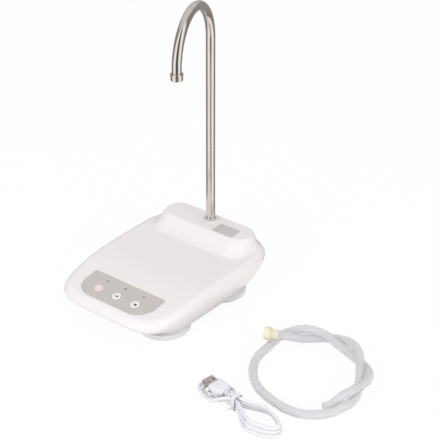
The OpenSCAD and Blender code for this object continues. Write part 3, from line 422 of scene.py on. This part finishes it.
HANK_AT, HANK_DIR, HANK_TURNS, HANK_START = (175.5, -111.0), -10.0, 2.5, -90
HANK_POINTS, CABLE_SIDES = 96, 18
HANK_MID, HANK_HALF = (HANK_RIGHT - HANK_LEFT) / 2, (HANK_RIGHT + HANK_LEFT) / 2
WAIST, HANK_STEP, HANK_Z = CABLE_R + 0.3, 2 * CABLE_R + 0.6, CABLE_R + TABLE_GAP
TIE_T = 0.7
WAIST_LIFT, WAIST_RUN = TIE_T + 0.2, 20
HANK_NEST = HANK_STEP + 0.3
# each turn's right end is shorter and narrower than the one before
RIGHT_SHORT, RIGHT_THIN, RIGHT_RUN = 0.6, 2.2, 32
# the left ends nest in each other and lie low
LEFT_RUN, NEST_FROM, NEST_RUN, LEFT_BLUNT = 26, 3, 11, 0.6
SINK, SINK_FROM, SINK_RUN = 0.75, 9, 14
USB_H, MICRO_H = 7.0, 5.4
LEAD_LOW = MICRO_H / 2 + 0.25
LEAD_HIGH = LEAD_LOW + MICRO_H / 2 + USB_H / 2 + 0.3
LEAD_TOP = HANK_Z + HANK_STEP * HANK_TURNS + WAIST_LIFT
USB_AT, MICRO_AT = Vector((-12, 0.5, LEAD_HIGH)), Vector((-12.5, -1.5, LEAD_LOW))
# a softened piece, its bevel's width and its slot
PLUG_NODES = (("usb_grip", 0.7, "cable_white"), ("micro_grip", 0.6, "cable_white"),
              ("usb_shell", 0.12, "port_steel"), ("micro_shell", 0.08, "port_steel"),
              ("cable_tie", 0.2, "cable_white"))


def hank_pt(a):
    turn = (a - HANK_START) / 360
    ca, sa = math.cos(math.radians(a)), math.sin(math.radians(a))
    drawn = RIGHT_SHORT * turn if a > 0 else 0
    if ca < 0:
        drawn = -HANK_NEST * (1 - math.floor(turn)) * ca
    s = HANK_MID + (HANK_HALF - drawn) * ca
    lift = WAIST_LIFT * (1 - ease(abs(s) / WAIST_RUN))
    if s > 0:
        width = WAIST + (HANK_WIDE - RIGHT_THIN * turn - WAIST) * ease(s / RIGHT_RUN)
        return Vector((s, sa * width, HANK_Z + HANK_STEP * turn + lift))
    width = (WAIST + (HANK_NARROW - HANK_NEST - WAIST) * ease(-s / LEFT_RUN)
             + HANK_NEST * math.floor(turn) * ease((-s - NEST_FROM) / NEST_RUN))
    low = 1 - SINK * ease((-s - SINK_FROM) / SINK_RUN)
    across = math.copysign(abs(sa) ** LEFT_BLUNT, sa) * width
    return Vector((s, across, HANK_Z + HANK_STEP * turn * low + lift))


def hank_world(p):
    x, y = turned(p[0], p[1], HANK_DIR)
    return Vector((HANK_AT[0] + x, HANK_AT[1] + y, p[2]))


from_micro = [MICRO_AT, MICRO_AT + Vector((2.5, 0, 0)), MICRO_AT + Vector((6.5, 0.2, -0.4)),
              Vector((-2.5, -1.8, 2.45))]
hank = [hank_pt(HANK_START + i * 360 * HANK_TURNS / HANK_POINTS) for i in range(HANK_POINTS + 1)]
to_usb = [Vector((-2.5, 1.7, LEAD_TOP - 0.1)), Vector((-7, 0.9, LEAD_TOP - 0.6)),
          USB_AT + Vector((2, 0, 0)), USB_AT]
cable_path = catmull([hank_world(p) for p in from_micro + hank + to_usb], CORD_STEPS)
cable = sweep("cable_cord", cable_path, CABLE_R, CABLE_SIDES, None, UP)
dress(cable, "base", "cable_white")
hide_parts("charge_cable")
plug_pieces = [dress(bevelled(node, width), "base", slot) for node, width, slot in PLUG_NODES]


# housing: the source's surface at a fine step, with the same openings

TINY = 0.001
FALL_TOP, FALL_FOOT = 1.5, 2.2  # powers that shape the hump's slope
TAPER_POWER, WALL_POWER = 1.4, 1.8
LIP_T, LIP_SOFT = 0.3, 0.05  # shares of the front wall's height
# the inner skin stands further in where the wall slants, so that the wall keeps its thickness
LEAN_FROM, LEAN_RUN, LEAN_FRONT, LEAN_REAR = 0.13, 0.52, 1.5, 0.7
SHELL_SHARP = 32


def tilt_fall(y):
    d = TILT_Y - y
    t = math.tan(math.radians(PANEL_TILT))
    if d <= -TILT_SOFT:
        return 0.0
    return t * (d if d >= TILT_SOFT else (d + TILT_SOFT) ** 2 / (4 * TILT_SOFT))


def tray_h(y):
    return TRAY_Z - tilt_fall(y)


def hump_fall(s):
    return (1 - clamp01(s) ** FALL_TOP) ** FALL_FOOT


def hump_h(x, y):
    ax = max(0.0, abs(x) - HUMP_HALF + HUMP_R)
    af = max(0.0, HUMP_FRONT + HUMP_R - y)
    ab = max(0.0, y - HUMP_BACK + HUMP_R)
    d = max(TINY, math.sqrt(ax * ax + af * af + ab * ab))
    slope = (ax * ax * HUMP_END_SLOPE + af * af * HUMP_SLOPE + ab * ab * HUMP_BACK_SLOPE) / (d * d)
    return HUMP_RISE * hump_fall((d - HUMP_R) / max(TINY, slope))


def end_of(v):
    """Power and length of the plan's front or rear half."""
    return (FRONT_N, SPAN_FRONT) if v < 0 else (REAR_N, SPAN_REAR)


def plan_pt(u, v, inset):
    n, b = end_of(v)
    k = (1 + abs(u * v) ** n) ** (-1 / n)
    y = WIDEST_Y + (b - inset) * v * k
    f = 1.0
    if y < WIDEST_Y:
        f = 1 - FRONT_TAPER * ((WIDEST_Y - y) / SPAN_FRONT) ** TAPER_POWER
    return (HALF_W - inset) * u * k * f, y


def facing(u, v):
    """From -1 on the front wall over 0 on the sides to 1 on the rear wall."""
    n, b = end_of(v)
    gx, gy = abs(u) ** (n - 1) / HALF_W, abs(v) ** (n - 1) / b
    return math.copysign(ease(gy / math.hypot(gx, gy)), v)


def front_inset(t):
    """Inset of the front from its soft edge (t = 0) to the rim (t = 1): lip, then undercut."""
    lip = LIP_IN * min(1.0, t / LIP_T) ** 2
    under = max(0.0, t - LIP_T) / (1 - LIP_T)
    if under < LIP_SOFT:
        under = under * under / (2 * LIP_SOFT)
    else:
        under -= LIP_SOFT / 2
    return lip + (FRONT_IN - LIP_IN) * under / (1 - LIP_SOFT / 2)


def wall_inset(t, face):
    back, fore = max(0.0, face), max(0.0, -face)
    draw = t ** WALL_POWER
    return (1 - back - fore) * SIDE_IN * draw + back * REAR_IN * draw + fore * front_inset(t)


def lean(t, face):
    low = clamp01((t - LEAN_FROM) / LEAN_RUN)
    return 1 + low * (-LEAN_FRONT * face if face < 0 else LEAN_REAR * face)


def subdivide(values, k):
    out = []
    for a, b in zip(values, values[1:]):
        out += [a + (b - a) * i / k for i in range(k)]
    return out + [values[-1]]


def rear_v(y):
    return (y - WIDEST_Y) / (SPAN_REAR - EDGE_R)


def front_v(y):
    return (y - WIDEST_Y) / (SPAN_FRONT - EDGE_R)


# the source's grid on the top, its rows down the wall and its angles round the edge
GRID_STEPS = 4  # between two lines of the source's grid
HALF_US = [0, 0.18, 0.36, 0.54, 0.63, 0.71, 0.78, 0.83, 0.88, 0.92, 0.96, 1]
SLOPE_ROWS = (1, 0.84, 0.68, 0.52, 0.37, 0.24, 0.12, 0)
US = subdivide([-u for u in HALF_US[::-1]] + HALF_US[1:], GRID_STEPS)
VS = subdivide([-1, -0.95, -0.86, -0.75]
               + [front_v(TILT_Y + s * TILT_SOFT) for s in (-1.1, -0.6, 0, 0.5, 1)] + [0.06]
               + [rear_v(HUMP_FRONT - s * HUMP_SLOPE) for s in SLOPE_ROWS]
               + [rear_v(HUMP_FRONT + s * HUMP_D) for s in (0.25, 0.5, 0.68, 0.85, 1)]
               + [rear_v(HUMP_BACK + s * HUMP_BACK_SLOPE) for s in (0.2, 0.4)] + [1], GRID_STEPS)
NU, NV = len(US), len(VS)
LOOP = ([(i, 0) for i in range(NU - 1)] + [(NU - 1, j) for j in range(NV - 1)]
        + [(i, NV - 1) for i in range(NU - 1, 0, -1)] + [(0, j) for j in range(NV - 1, 0, -1)])
WALL_T = [1, 0.93, 0.86, 0.78, 0.7, 0.62, 0.54, 0.46, 0.4, 0.36, 0.335, 0.315, 0.3, 0.285, 0.26,
          0.22, 0.17, 0.11, 0.05]
EDGE_A = [0, 7, 14, 22, 30, 38, 46, 54, 62, 70, 78, 84]


def housing_mesh():
    """Vertices and faces of the shell: an outer and an inner skin, joined at the rim."""
    verts, faces = [], []

    def skin(inner):
        base = len(verts)
        thick = WALL if inner else 0.0
        er = EDGE_R - thick
        for t in WALL_T:
            for i, j in LOOP:
                face = facing(US[i], VS[j])
                x, y = plan_pt(US[i], VS[j], wall_inset(t, face) + thick * lean(t, face))
                top = tray_h(y) - EDGE_R
                verts.append((x, y, top - t * (top - FOOT_H)))
        for a in EDGE_A:
            r = math.radians(a)
            for i, j in LOOP:
                x, y = plan_pt(US[i], VS[j], thick + er * (1 - math.cos(r)))
                z = tray_h(y) + hump_h(x, y) - thick - er * (1 - math.sin(r))
                verts.append((x, y, z))
        grid = len(verts)
        for v in VS:
            for u in US:
                x, y = plan_pt(u, v, EDGE_R)
                verts.append((x, y, tray_h(y) + hump_h(x, y) - thick))
        nl, nr = len(LOOP), len(WALL_T) + len(EDGE_A)

        def at(r, k):
            i, j = LOOP[k % nl]
            return base + r * nl + k % nl if r < nr else grid + j * NU + i

        own = []
        for r in range(nr):
            for k in range(nl):
                own.append((at(r, k), at(r, k + 1), at(r + 1, k + 1), at(r + 1, k)))
        for j in range(NV - 1):
            for i in range(NU - 1):
                g = grid + j * NU + i
                own.append((g, g + 1, g + NU + 1, g + NU))
        faces.extend(q[::-1] if inner else q for q in own)
        return base

    outer, inner = skin(False), skin(True)
    for k in range(len(LOOP)):
        j = (k + 1) % len(LOOP)
        faces.append((outer + j, outer + k, inner + k, inner + j))
    return verts, faces


FRONT_CORNER_STEPS, REAR_CORNER_STEPS = 16, 8


def on_panel(p):
    c, s = math.cos(math.radians(PANEL_TILT)), math.sin(math.radians(PANEL_TILT))
    x, y, z = p
    return (x, PANEL_YC + y * c - z * s, tray_h(PANEL_YC) + y * s + z * c)


def panel_outline(grow):
    w, d = PANEL_W / 2 + grow, PANEL_D / 2 + grow
    front = (PANEL_R + grow, FRONT_CORNER_STEPS)
    rear = (PANEL_REAR_R + grow, REAR_CORNER_STEPS)
    pts = []
    for cx, cy, (r, steps), start in ((w, -d, front, -90), (w, d, rear, 0), (-w, d, rear, 90),
                                      (-w, -d, front, 180)):
        ox, oy = cx - math.copysign(r, cx), cy - math.copysign(r, cy)
        for i in range(steps + 1):
            a = math.radians(start + 90 * i / steps)
            pts.append((ox + r * math.cos(a), oy + r * math.sin(a)))
    return pts


KEY_XS = (-KEY_PITCH, 0, KEY_PITCH)
KEY_Y, LAMP_Y = KEY_IN - PANEL_D / 2, LAMP_IN - PANEL_D / 2
PORT_Z, INLET_X, PORT_X, NIPPLE_R = 17.0, 26.0, -26.0, 3.8
INLET_FROM, PORT_FROM, PORT_REACH = HALF_L - 24, HALF_L - 20, 30
PORT_W, PORT_H = 4, 1.55  # half of the charging port's opening
HOLE_SIDES, SOCKET_SIDES = 48, 64
PAST, KEY_PAST = 6, 2  # how far the cutting shapes go past the wall


def on_spout_foot(p):
    return (p[0], SPOUT_Y + p[1], p[2])


def to_rear(x0, y0):
    return lambda p: (x0 + p[0], y0 + p[2], PORT_Z + p[1])


socket_hole = circle(SOCKET_R + FIT, SOCKET_SIDES)
inlet_hole = circle(NIPPLE_R + FIT, HOLE_SIDES)[::-1]
port_hole = [(PORT_W, -PORT_H), (PORT_W, PORT_H), (-PORT_W, PORT_H), (-PORT_W, -PORT_H)]
shell = add("housing", *housing_mesh())
cut(shell, [prism(panel_outline(FIT), -PANEL_T, PAST, on_panel),
            prism(socket_hole, HUMP_Z - PAST, HUMP_Z + PAST, on_spout_foot),
            prism(inlet_hole, 0, PORT_REACH, to_rear(INLET_X, INLET_FROM)),
            prism(port_hole, 0, PORT_REACH, to_rear(PORT_X, PORT_FROM))])
cut(shell, [prism(circle(r, HOLE_SIDES, x, y), -PAST, KEY_PAST, on_panel)
            for x in KEY_XS for y, r in ((KEY_Y, KEY_R + KEY_FIT), (LAMP_Y, LAMP_R + FIT))])
smooth(shell.data, SHELL_SHARP)
dress(shell, "base", "white_gloss")
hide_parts("top_shell")


# keys: soft round caps with a shallow dish, their signs printed on top

KEY_SIDES, KEY_SHARP = 64, 40
STEM_R, STEM_Z = 1.5, -4.8
KEY_FLANGE, FLANGE_R, FLANGE_T = WALL + 0.4, KEY_R + 1.2, 1.2
KEY_PROUD, DISH, DISH_R = 0.5, 0.16, KEY_R - 0.6
PRINT_LOW, PRINT_HIGH, PRINT_SHARP = 0.01, 0.05, 30
CUP_FOOT = 0.36  # half of a cup's foot, as a share of its mouth
TIP, TIP_SIDE, TIP_SWEEP, TIP_STEPS = 2.1, 35, 250, 12  # a drop's tip and round part

key_profile = [(0, STEM_Z), (STEM_R, STEM_Z), (STEM_R, -KEY_FLANGE - FLANGE_T),
               (FLANGE_R, -KEY_FLANGE - FLANGE_T), (FLANGE_R, -KEY_FLANGE), (KEY_R, -KEY_FLANGE),
               (KEY_R, 0.1), (KEY_R - 0.05, 0.26), (KEY_R - 0.18, 0.4), (KEY_R - 0.4, KEY_PROUD),
               (KEY_R - 0.8, KEY_PROUD - 0.02), (3, KEY_PROUD - 0.1), (1.5, KEY_PROUD - 0.15),
               (0, KEY_PROUD - DISH)]


def on_key(k):
    """Puts places round a key's middle on the panel."""
    return lambda p: on_panel((KEY_XS[k] + p[0], KEY_Y + p[1], p[2]))


def dish(x, y):
    """Height of a key's dished top."""
    return KEY_PROUD - DISH * (1 - min(1.0, math.hypot(x, y) / DISH_R) ** 2)


def band(r0, r1, a0, a1, steps):
    """Short four-sided pieces of a ring, in degrees."""
    out = []
    for i in range(steps):
        a, b = (math.radians(a0 + (a1 - a0) * k / steps) for k in (i, i + 1))
        out.append([(r0 * math.cos(a), r0 * math.sin(a)), (r1 * math.cos(a), r1 * math.sin(a)),
                    (r1 * math.cos(b), r1 * math.sin(b)), (r0 * math.cos(b), r0 * math.sin(b))])
    return out


def bar(w, y0, y1):
    return [(-w / 2, y0), (w / 2, y0), (w / 2, y1), (-w / 2, y1)]


def cup(x, y, w, h):
    """A tumbler, wider at its mouth."""
    foot = CUP_FOOT * w
    return [(x - foot, y - h / 2), (x + foot, y - h / 2), (x + w / 2, y + h / 2),
            (x - w / 2, y + h / 2)]


def drop(x, y, r):
    pts = [(x, y + TIP * r)]
    for i in range(TIP_STEPS + 1):
        a = math.radians(TIP_SIDE - TIP_SWEEP * i / TIP_STEPS)
        pts.append((x + r * math.cos(a), y + r * math.sin(a)))
    return pts[::-1]


KEYS = (("power_key", "power_key_body", "key_pink"),
        ("small_cup_key", "small_key_body", "key_white"),
        ("large_cup_key", "large_key_body", "key_white"))
SIGNS = (("power_ring", 0, band(4.0, 4.45, 0, 360, 48), "icon_pink"),
         ("power_sign", 0, band(1.6, 2.05, 125, 415, 32) + [bar(0.44, 0.9, 2.7)], "icon_pink"),
         ("small_cup_sign", 1, [cup(0.9, -0.3, 2.2, 2.4), drop(-1.7, 0.1, 0.55)], "icon_dark"),
         ("large_cup_sign", 2, [cup(0.9, -0.4, 2.7, 3.1), drop(-1.9, 0.4, 0.45)], "icon_dark"))

for k, (node, body, slot) in enumerate(KEYS):
    cap = revolve(node + "_cap", key_profile, KEY_SIDES, on_key(k), KEY_SHARP)
    dress(cap, body, slot)
    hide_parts(node)
for name, k, outlines, ink in SIGNS:
    put, (_, body, slot) = on_key(k), KEYS[k]
    parts = [prism(outline, PRINT_LOW, PRINT_HIGH,
                   lambda p: put((p[0], p[1], dish(p[0], p[1]) + p[2]))) for outline in outlines]
    dress(add(name, *joined(parts), sharp=PRINT_SHARP), body, slot, ink)


# spout: one bent tube, drawn over the source's line

NECK_Z, RIM_TOP = HUMP_Z + LEG_H, HUMP_Z + SOCKET_RIM
TUBE_LOW, LEG_LOW = RIM_TOP - SOCKET_DEPTH, RIM_TOP + 4
LEG_STEPS, NECK_STEPS, DROP_STEPS, SPOUT_SIDES = 24, 72, 3, 64
SKIN_IN = 0.004  # keeps the tube off the skin of the pieces that hold it


def on_spout(f, z):
    """A point of the spout's plane, which is turned about the tube's foot."""
    a = math.radians(SPOUT_TURN)
    return Vector((f * math.sin(a), SPOUT_Y - f * math.cos(a), z))


spout_path = [on_spout(0, TUBE_LOW)]
spout_path += [on_spout(0, LEG_LOW + (NECK_Z - LEG_LOW) * i / LEG_STEPS)
               for i in range(LEG_STEPS + 1)]
for i in range(1, NECK_STEPS + 1):
    a = math.pi * i / NECK_STEPS
    spout_path.append(on_spout(NECK_R - NECK_R * math.cos(a), NECK_Z + NECK_R * math.sin(a)))
spout_path += [on_spout(2 * NECK_R, NECK_Z - DROP_L * i / DROP_STEPS)
               for i in range(1, DROP_STEPS + 1)]
spout = sweep("spout_neck", spout_path, TUBE_R - SKIN_IN, SPOUT_SIDES, TUBE_R - TUBE_WALL,
              Vector((1, 0, 0)))
dress(spout, "spout", "spout_steel")
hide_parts("spout_tube")


# bare plate where the photograph has a printed label

PLATE_X, PLATE_Y, PLATE_HALF_W, PLATE_HALF_D, PLATE_T = 27.5, 66.5, 13.0, 8.5, 0.12
PLATE_R, PLATE_CORNER_STEPS, PLATE_SHARP = 1, 6, 30


def on_plate(p):
    return (PLATE_X + p[0], PLATE_Y + p[1], HUMP_Z + p[2])


plate_outline = []
for cx, cy, start in ((1, -1, -90), (1, 1, 0), (-1, 1, 90), (-1, -1, 180)):
    for i in range(PLATE_CORNER_STEPS + 1):
        a = math.radians(start + 90 * i / PLATE_CORNER_STEPS)
        plate_outline.append((cx * (PLATE_HALF_W - PLATE_R) + PLATE_R * math.cos(a),
                              cy * (PLATE_HALF_D - PLATE_R) + PLATE_R * math.sin(a)))
plate = add("bare_plate", *prism(plate_outline, 0.0, PLATE_T, on_plate), sharp=PLATE_SHARP)
dress(plate, "base", "panel_grey", "label_silver")


# studio: pale floor, soft light, white behind everything the camera sees; lengths in metres

FRONT = Vector((0.651, -0.759, 0)).normalized()
SPOUT_FOOT = (0, SPOUT_Y * MM, 0)
# painted reflections that only glossy rays see on the floor and in the world, by bearing from
# behind (0) to FRONT (1): dark behind, white beside, dark ahead, and paler on the floor near the
# spout
BANDS = [(0.0, 0.34), (0.5, 0.22), (0.66, 0.95), (0.92, 1.1)]
NEAR_PAINTED_REFLECTION = BANDS + [(0.975, 0.55), (1.0, 0.42)]
FAR_PAINTED_REFLECTION = BANDS + [(0.965, 0.25), (1.0, 0.06)]
PAINTED_REFLECTION_WARMTH = (1, 0.975, 0.955)
# where the painted reflection on the floor turns from the near bands to the far ones, in metres
# from the spout's foot
NEAR_END, FAR_START = 0.55, 0.7
# a painted reflection of a bright ceiling, which only glossy rays see
CEILING, CEILING_LEAN, CEILING_LOW, CEILING_FULL = 0.85, 0.6, 0.6, 1.05
FLOOR_R, FLOOR_TOP, FLOOR_T, FLOOR_SIDES = 3000, -0.02, 10, 96  # millimetres
FLOOR_TONE, FLOOR_GLOW, FLOOR_WHITE = (0.66, 0.66, 0.66, 1), 1.03, 0.92
WORLD_TONE, WORLD_LIGHT = (1, 0.995, 0.995, 1), 0.805
LAMP_AIM, LAMP_SIZE = Vector((0, 0, 0.03)), 0.9
LAMPS = (("front softbox", Vector((-0.25, -1.55, 0.75)), 8.6),
         ("right softbox", Vector((1.75, -0.35, 0.42)), 9.5))


def vector_node(nt, operation, source, value=None):
    node = shader_node(nt, "ShaderNodeVectorMath")
    node.operation = operation
    nt.links.new(source, node.inputs[0])
    if value is not None:
        node.inputs[1].default_value = value
    return node


def ranged(nt, source, low, high):
    """Maps low to 0 and high to 1."""
    node = shader_node(nt, "ShaderNodeMapRange", From_Min=low, From_Max=high)
    nt.links.new(source, node.inputs["Value"])
    return node


def bands(nt, source, stops):
    """A painted reflection colour for each compass bearing of a direction or place."""
    level = vector_node(nt, "MULTIPLY", source, (1, 1, 0))
    unit = vector_node(nt, "NORMALIZE", level.outputs["Vector"])
    ahead = vector_node(nt, "DOT_PRODUCT", unit.outputs["Vector"], FRONT)
    node = shader_node(nt, "ShaderNodeValToRGB")
    node.color_ramp.interpolation = "EASE"
    marks = node.color_ramp.elements
    while len(marks) < len(stops):
        marks.new(0.5)
    for mark, (position, value) in zip(marks, stops):
        mark.position = position
        mark.color = tuple(value * c for c in PAINTED_REFLECTION_WARMTH) + (1,)
    nt.links.new(ranged(nt, ahead.outputs["Value"], -1, 1).outputs["Result"], node.inputs[0])
    return node.outputs["Color"]


def mixed(nt, factor, first, second):
    node = shader_node(nt, "ShaderNodeMixShader")
    nt.links.new(factor, node.inputs[0])
    nt.links.new(first.outputs[0], node.inputs[1])
    nt.links.new(second.outputs[0], node.inputs[2])
    return node


def seen_white(nt, path):
    """1 for what the camera sees straight or through a clear part."""
    node = shader_node(nt, "ShaderNodeMath")
    node.operation = "MAXIMUM"
    nt.links.new(path.outputs["Is Camera Ray"], node.inputs[0])
    nt.links.new(path.outputs["Is Transmission Ray"], node.inputs[1])
    return node.outputs[0]


def build_floor(nt):
    """Matt, with painted reflection bands that only glossy rays see, and mostly white where it is
    seen.
    """
    nt.nodes.clear()
    out = shader_node(nt, "ShaderNodeOutputMaterial")
    path = shader_node(nt, "ShaderNodeLightPath")
    place = shader_node(nt, "ShaderNodeTexCoord")
    diffuse = shader_node(nt, "ShaderNodeBsdfDiffuse", Color=FLOOR_TONE)
    glow = shader_node(nt, "ShaderNodeEmission", Strength=FLOOR_GLOW)
    around = vector_node(nt, "SUBTRACT", place.outputs["Object"], SPOUT_FOOT)
    reach = vector_node(nt, "LENGTH", around.outputs["Vector"])
    distance = ranged(nt, reach.outputs["Value"], NEAR_END, FAR_START)
    near_and_far = []
    # painted reflections: the floor glows in bands, near and far, that only glossy rays see
    for stops in (NEAR_PAINTED_REFLECTION, FAR_PAINTED_REFLECTION):
        emission = shader_node(nt, "ShaderNodeEmission")
        nt.links.new(bands(nt, around.outputs["Vector"], stops), emission.inputs["Color"])
        near_and_far.append(emission)
    mirrored = mixed(nt, distance.outputs["Result"], *near_and_far)
    share = shader_node(nt, "ShaderNodeMath")
    share.operation = "MULTIPLY"
    share.inputs[1].default_value = FLOOR_WHITE
    nt.links.new(seen_white(nt, path), share.inputs[0])
    matt = mixed(nt, path.outputs["Is Glossy Ray"], diffuse, mirrored)
    whole = mixed(nt, share.outputs[0], matt, glow)
    nt.links.new(whole.outputs[0], out.inputs["Surface"])


def build_world(nt):
    """Even light, painted reflection bands and a painted ceiling for glossy rays, and white where
    it is seen.
    """
    nt.nodes.clear()
    out = shader_node(nt, "ShaderNodeOutputWorld")
    path = shader_node(nt, "ShaderNodeLightPath")
    coord = shader_node(nt, "ShaderNodeTexCoord")
    # painted reflections: bands by bearing and a bright ceiling, which only glossy rays see
    metal = shader_node(nt, "ShaderNodeBackground")
    nt.links.new(bands(nt, coord.outputs["Generated"], FAR_PAINTED_REFLECTION), metal.inputs["Color"])
    ceiling = shader_node(nt, "ShaderNodeBackground", Strength=CEILING)
    above = vector_node(nt, "DOT_PRODUCT", coord.outputs["Generated"], UP - CEILING_LEAN * FRONT)
    rise = ranged(nt, above.outputs["Value"], CEILING_LOW, CEILING_FULL)
    rise.interpolation_type = "SMOOTHSTEP"
    mirrored = mixed(nt, rise.outputs["Result"], metal, ceiling)
    light = shader_node(nt, "ShaderNodeBackground", Color=WORLD_TONE, Strength=WORLD_LIGHT)
    white = shader_node(nt, "ShaderNodeBackground", Strength=1.0)
    soft = mixed(nt, path.outputs["Is Glossy Ray"], light, mirrored)
    whole = mixed(nt, seen_white(nt, path), soft, white)
    nt.links.new(whole.outputs[0], out.inputs["Surface"])


floor = add("floor", *prism(circle(FLOOR_R, FLOOR_SIDES), FLOOR_TOP - FLOOR_T, FLOOR_TOP, same))
floor_mat = bpy.data.materials.new("floor")
floor_mat.use_nodes = True
build_floor(floor_mat.node_tree)
floor.data.materials.append(floor_mat)

scene.world = bpy.data.worlds.new("studio")
scene.world.use_nodes = True
build_world(scene.world.node_tree)

for name, at, watts in LAMPS:
    light = bpy.data.lights.new(name, "AREA")
    light.shape = "DISK"
    light.size = LAMP_SIZE
    light.energy = watts
    softbox = bpy.data.objects.new(name, light)
    scene.collection.objects.link(softbox)
    softbox.location = at
    softbox.rotation_euler = (LAMP_AIM - at).to_track_quat("-Z", "Y").to_euler()
    softbox.visible_transmission = False
    softbox.visible_glossy = False

scene.view_settings.view_transform = "Standard"
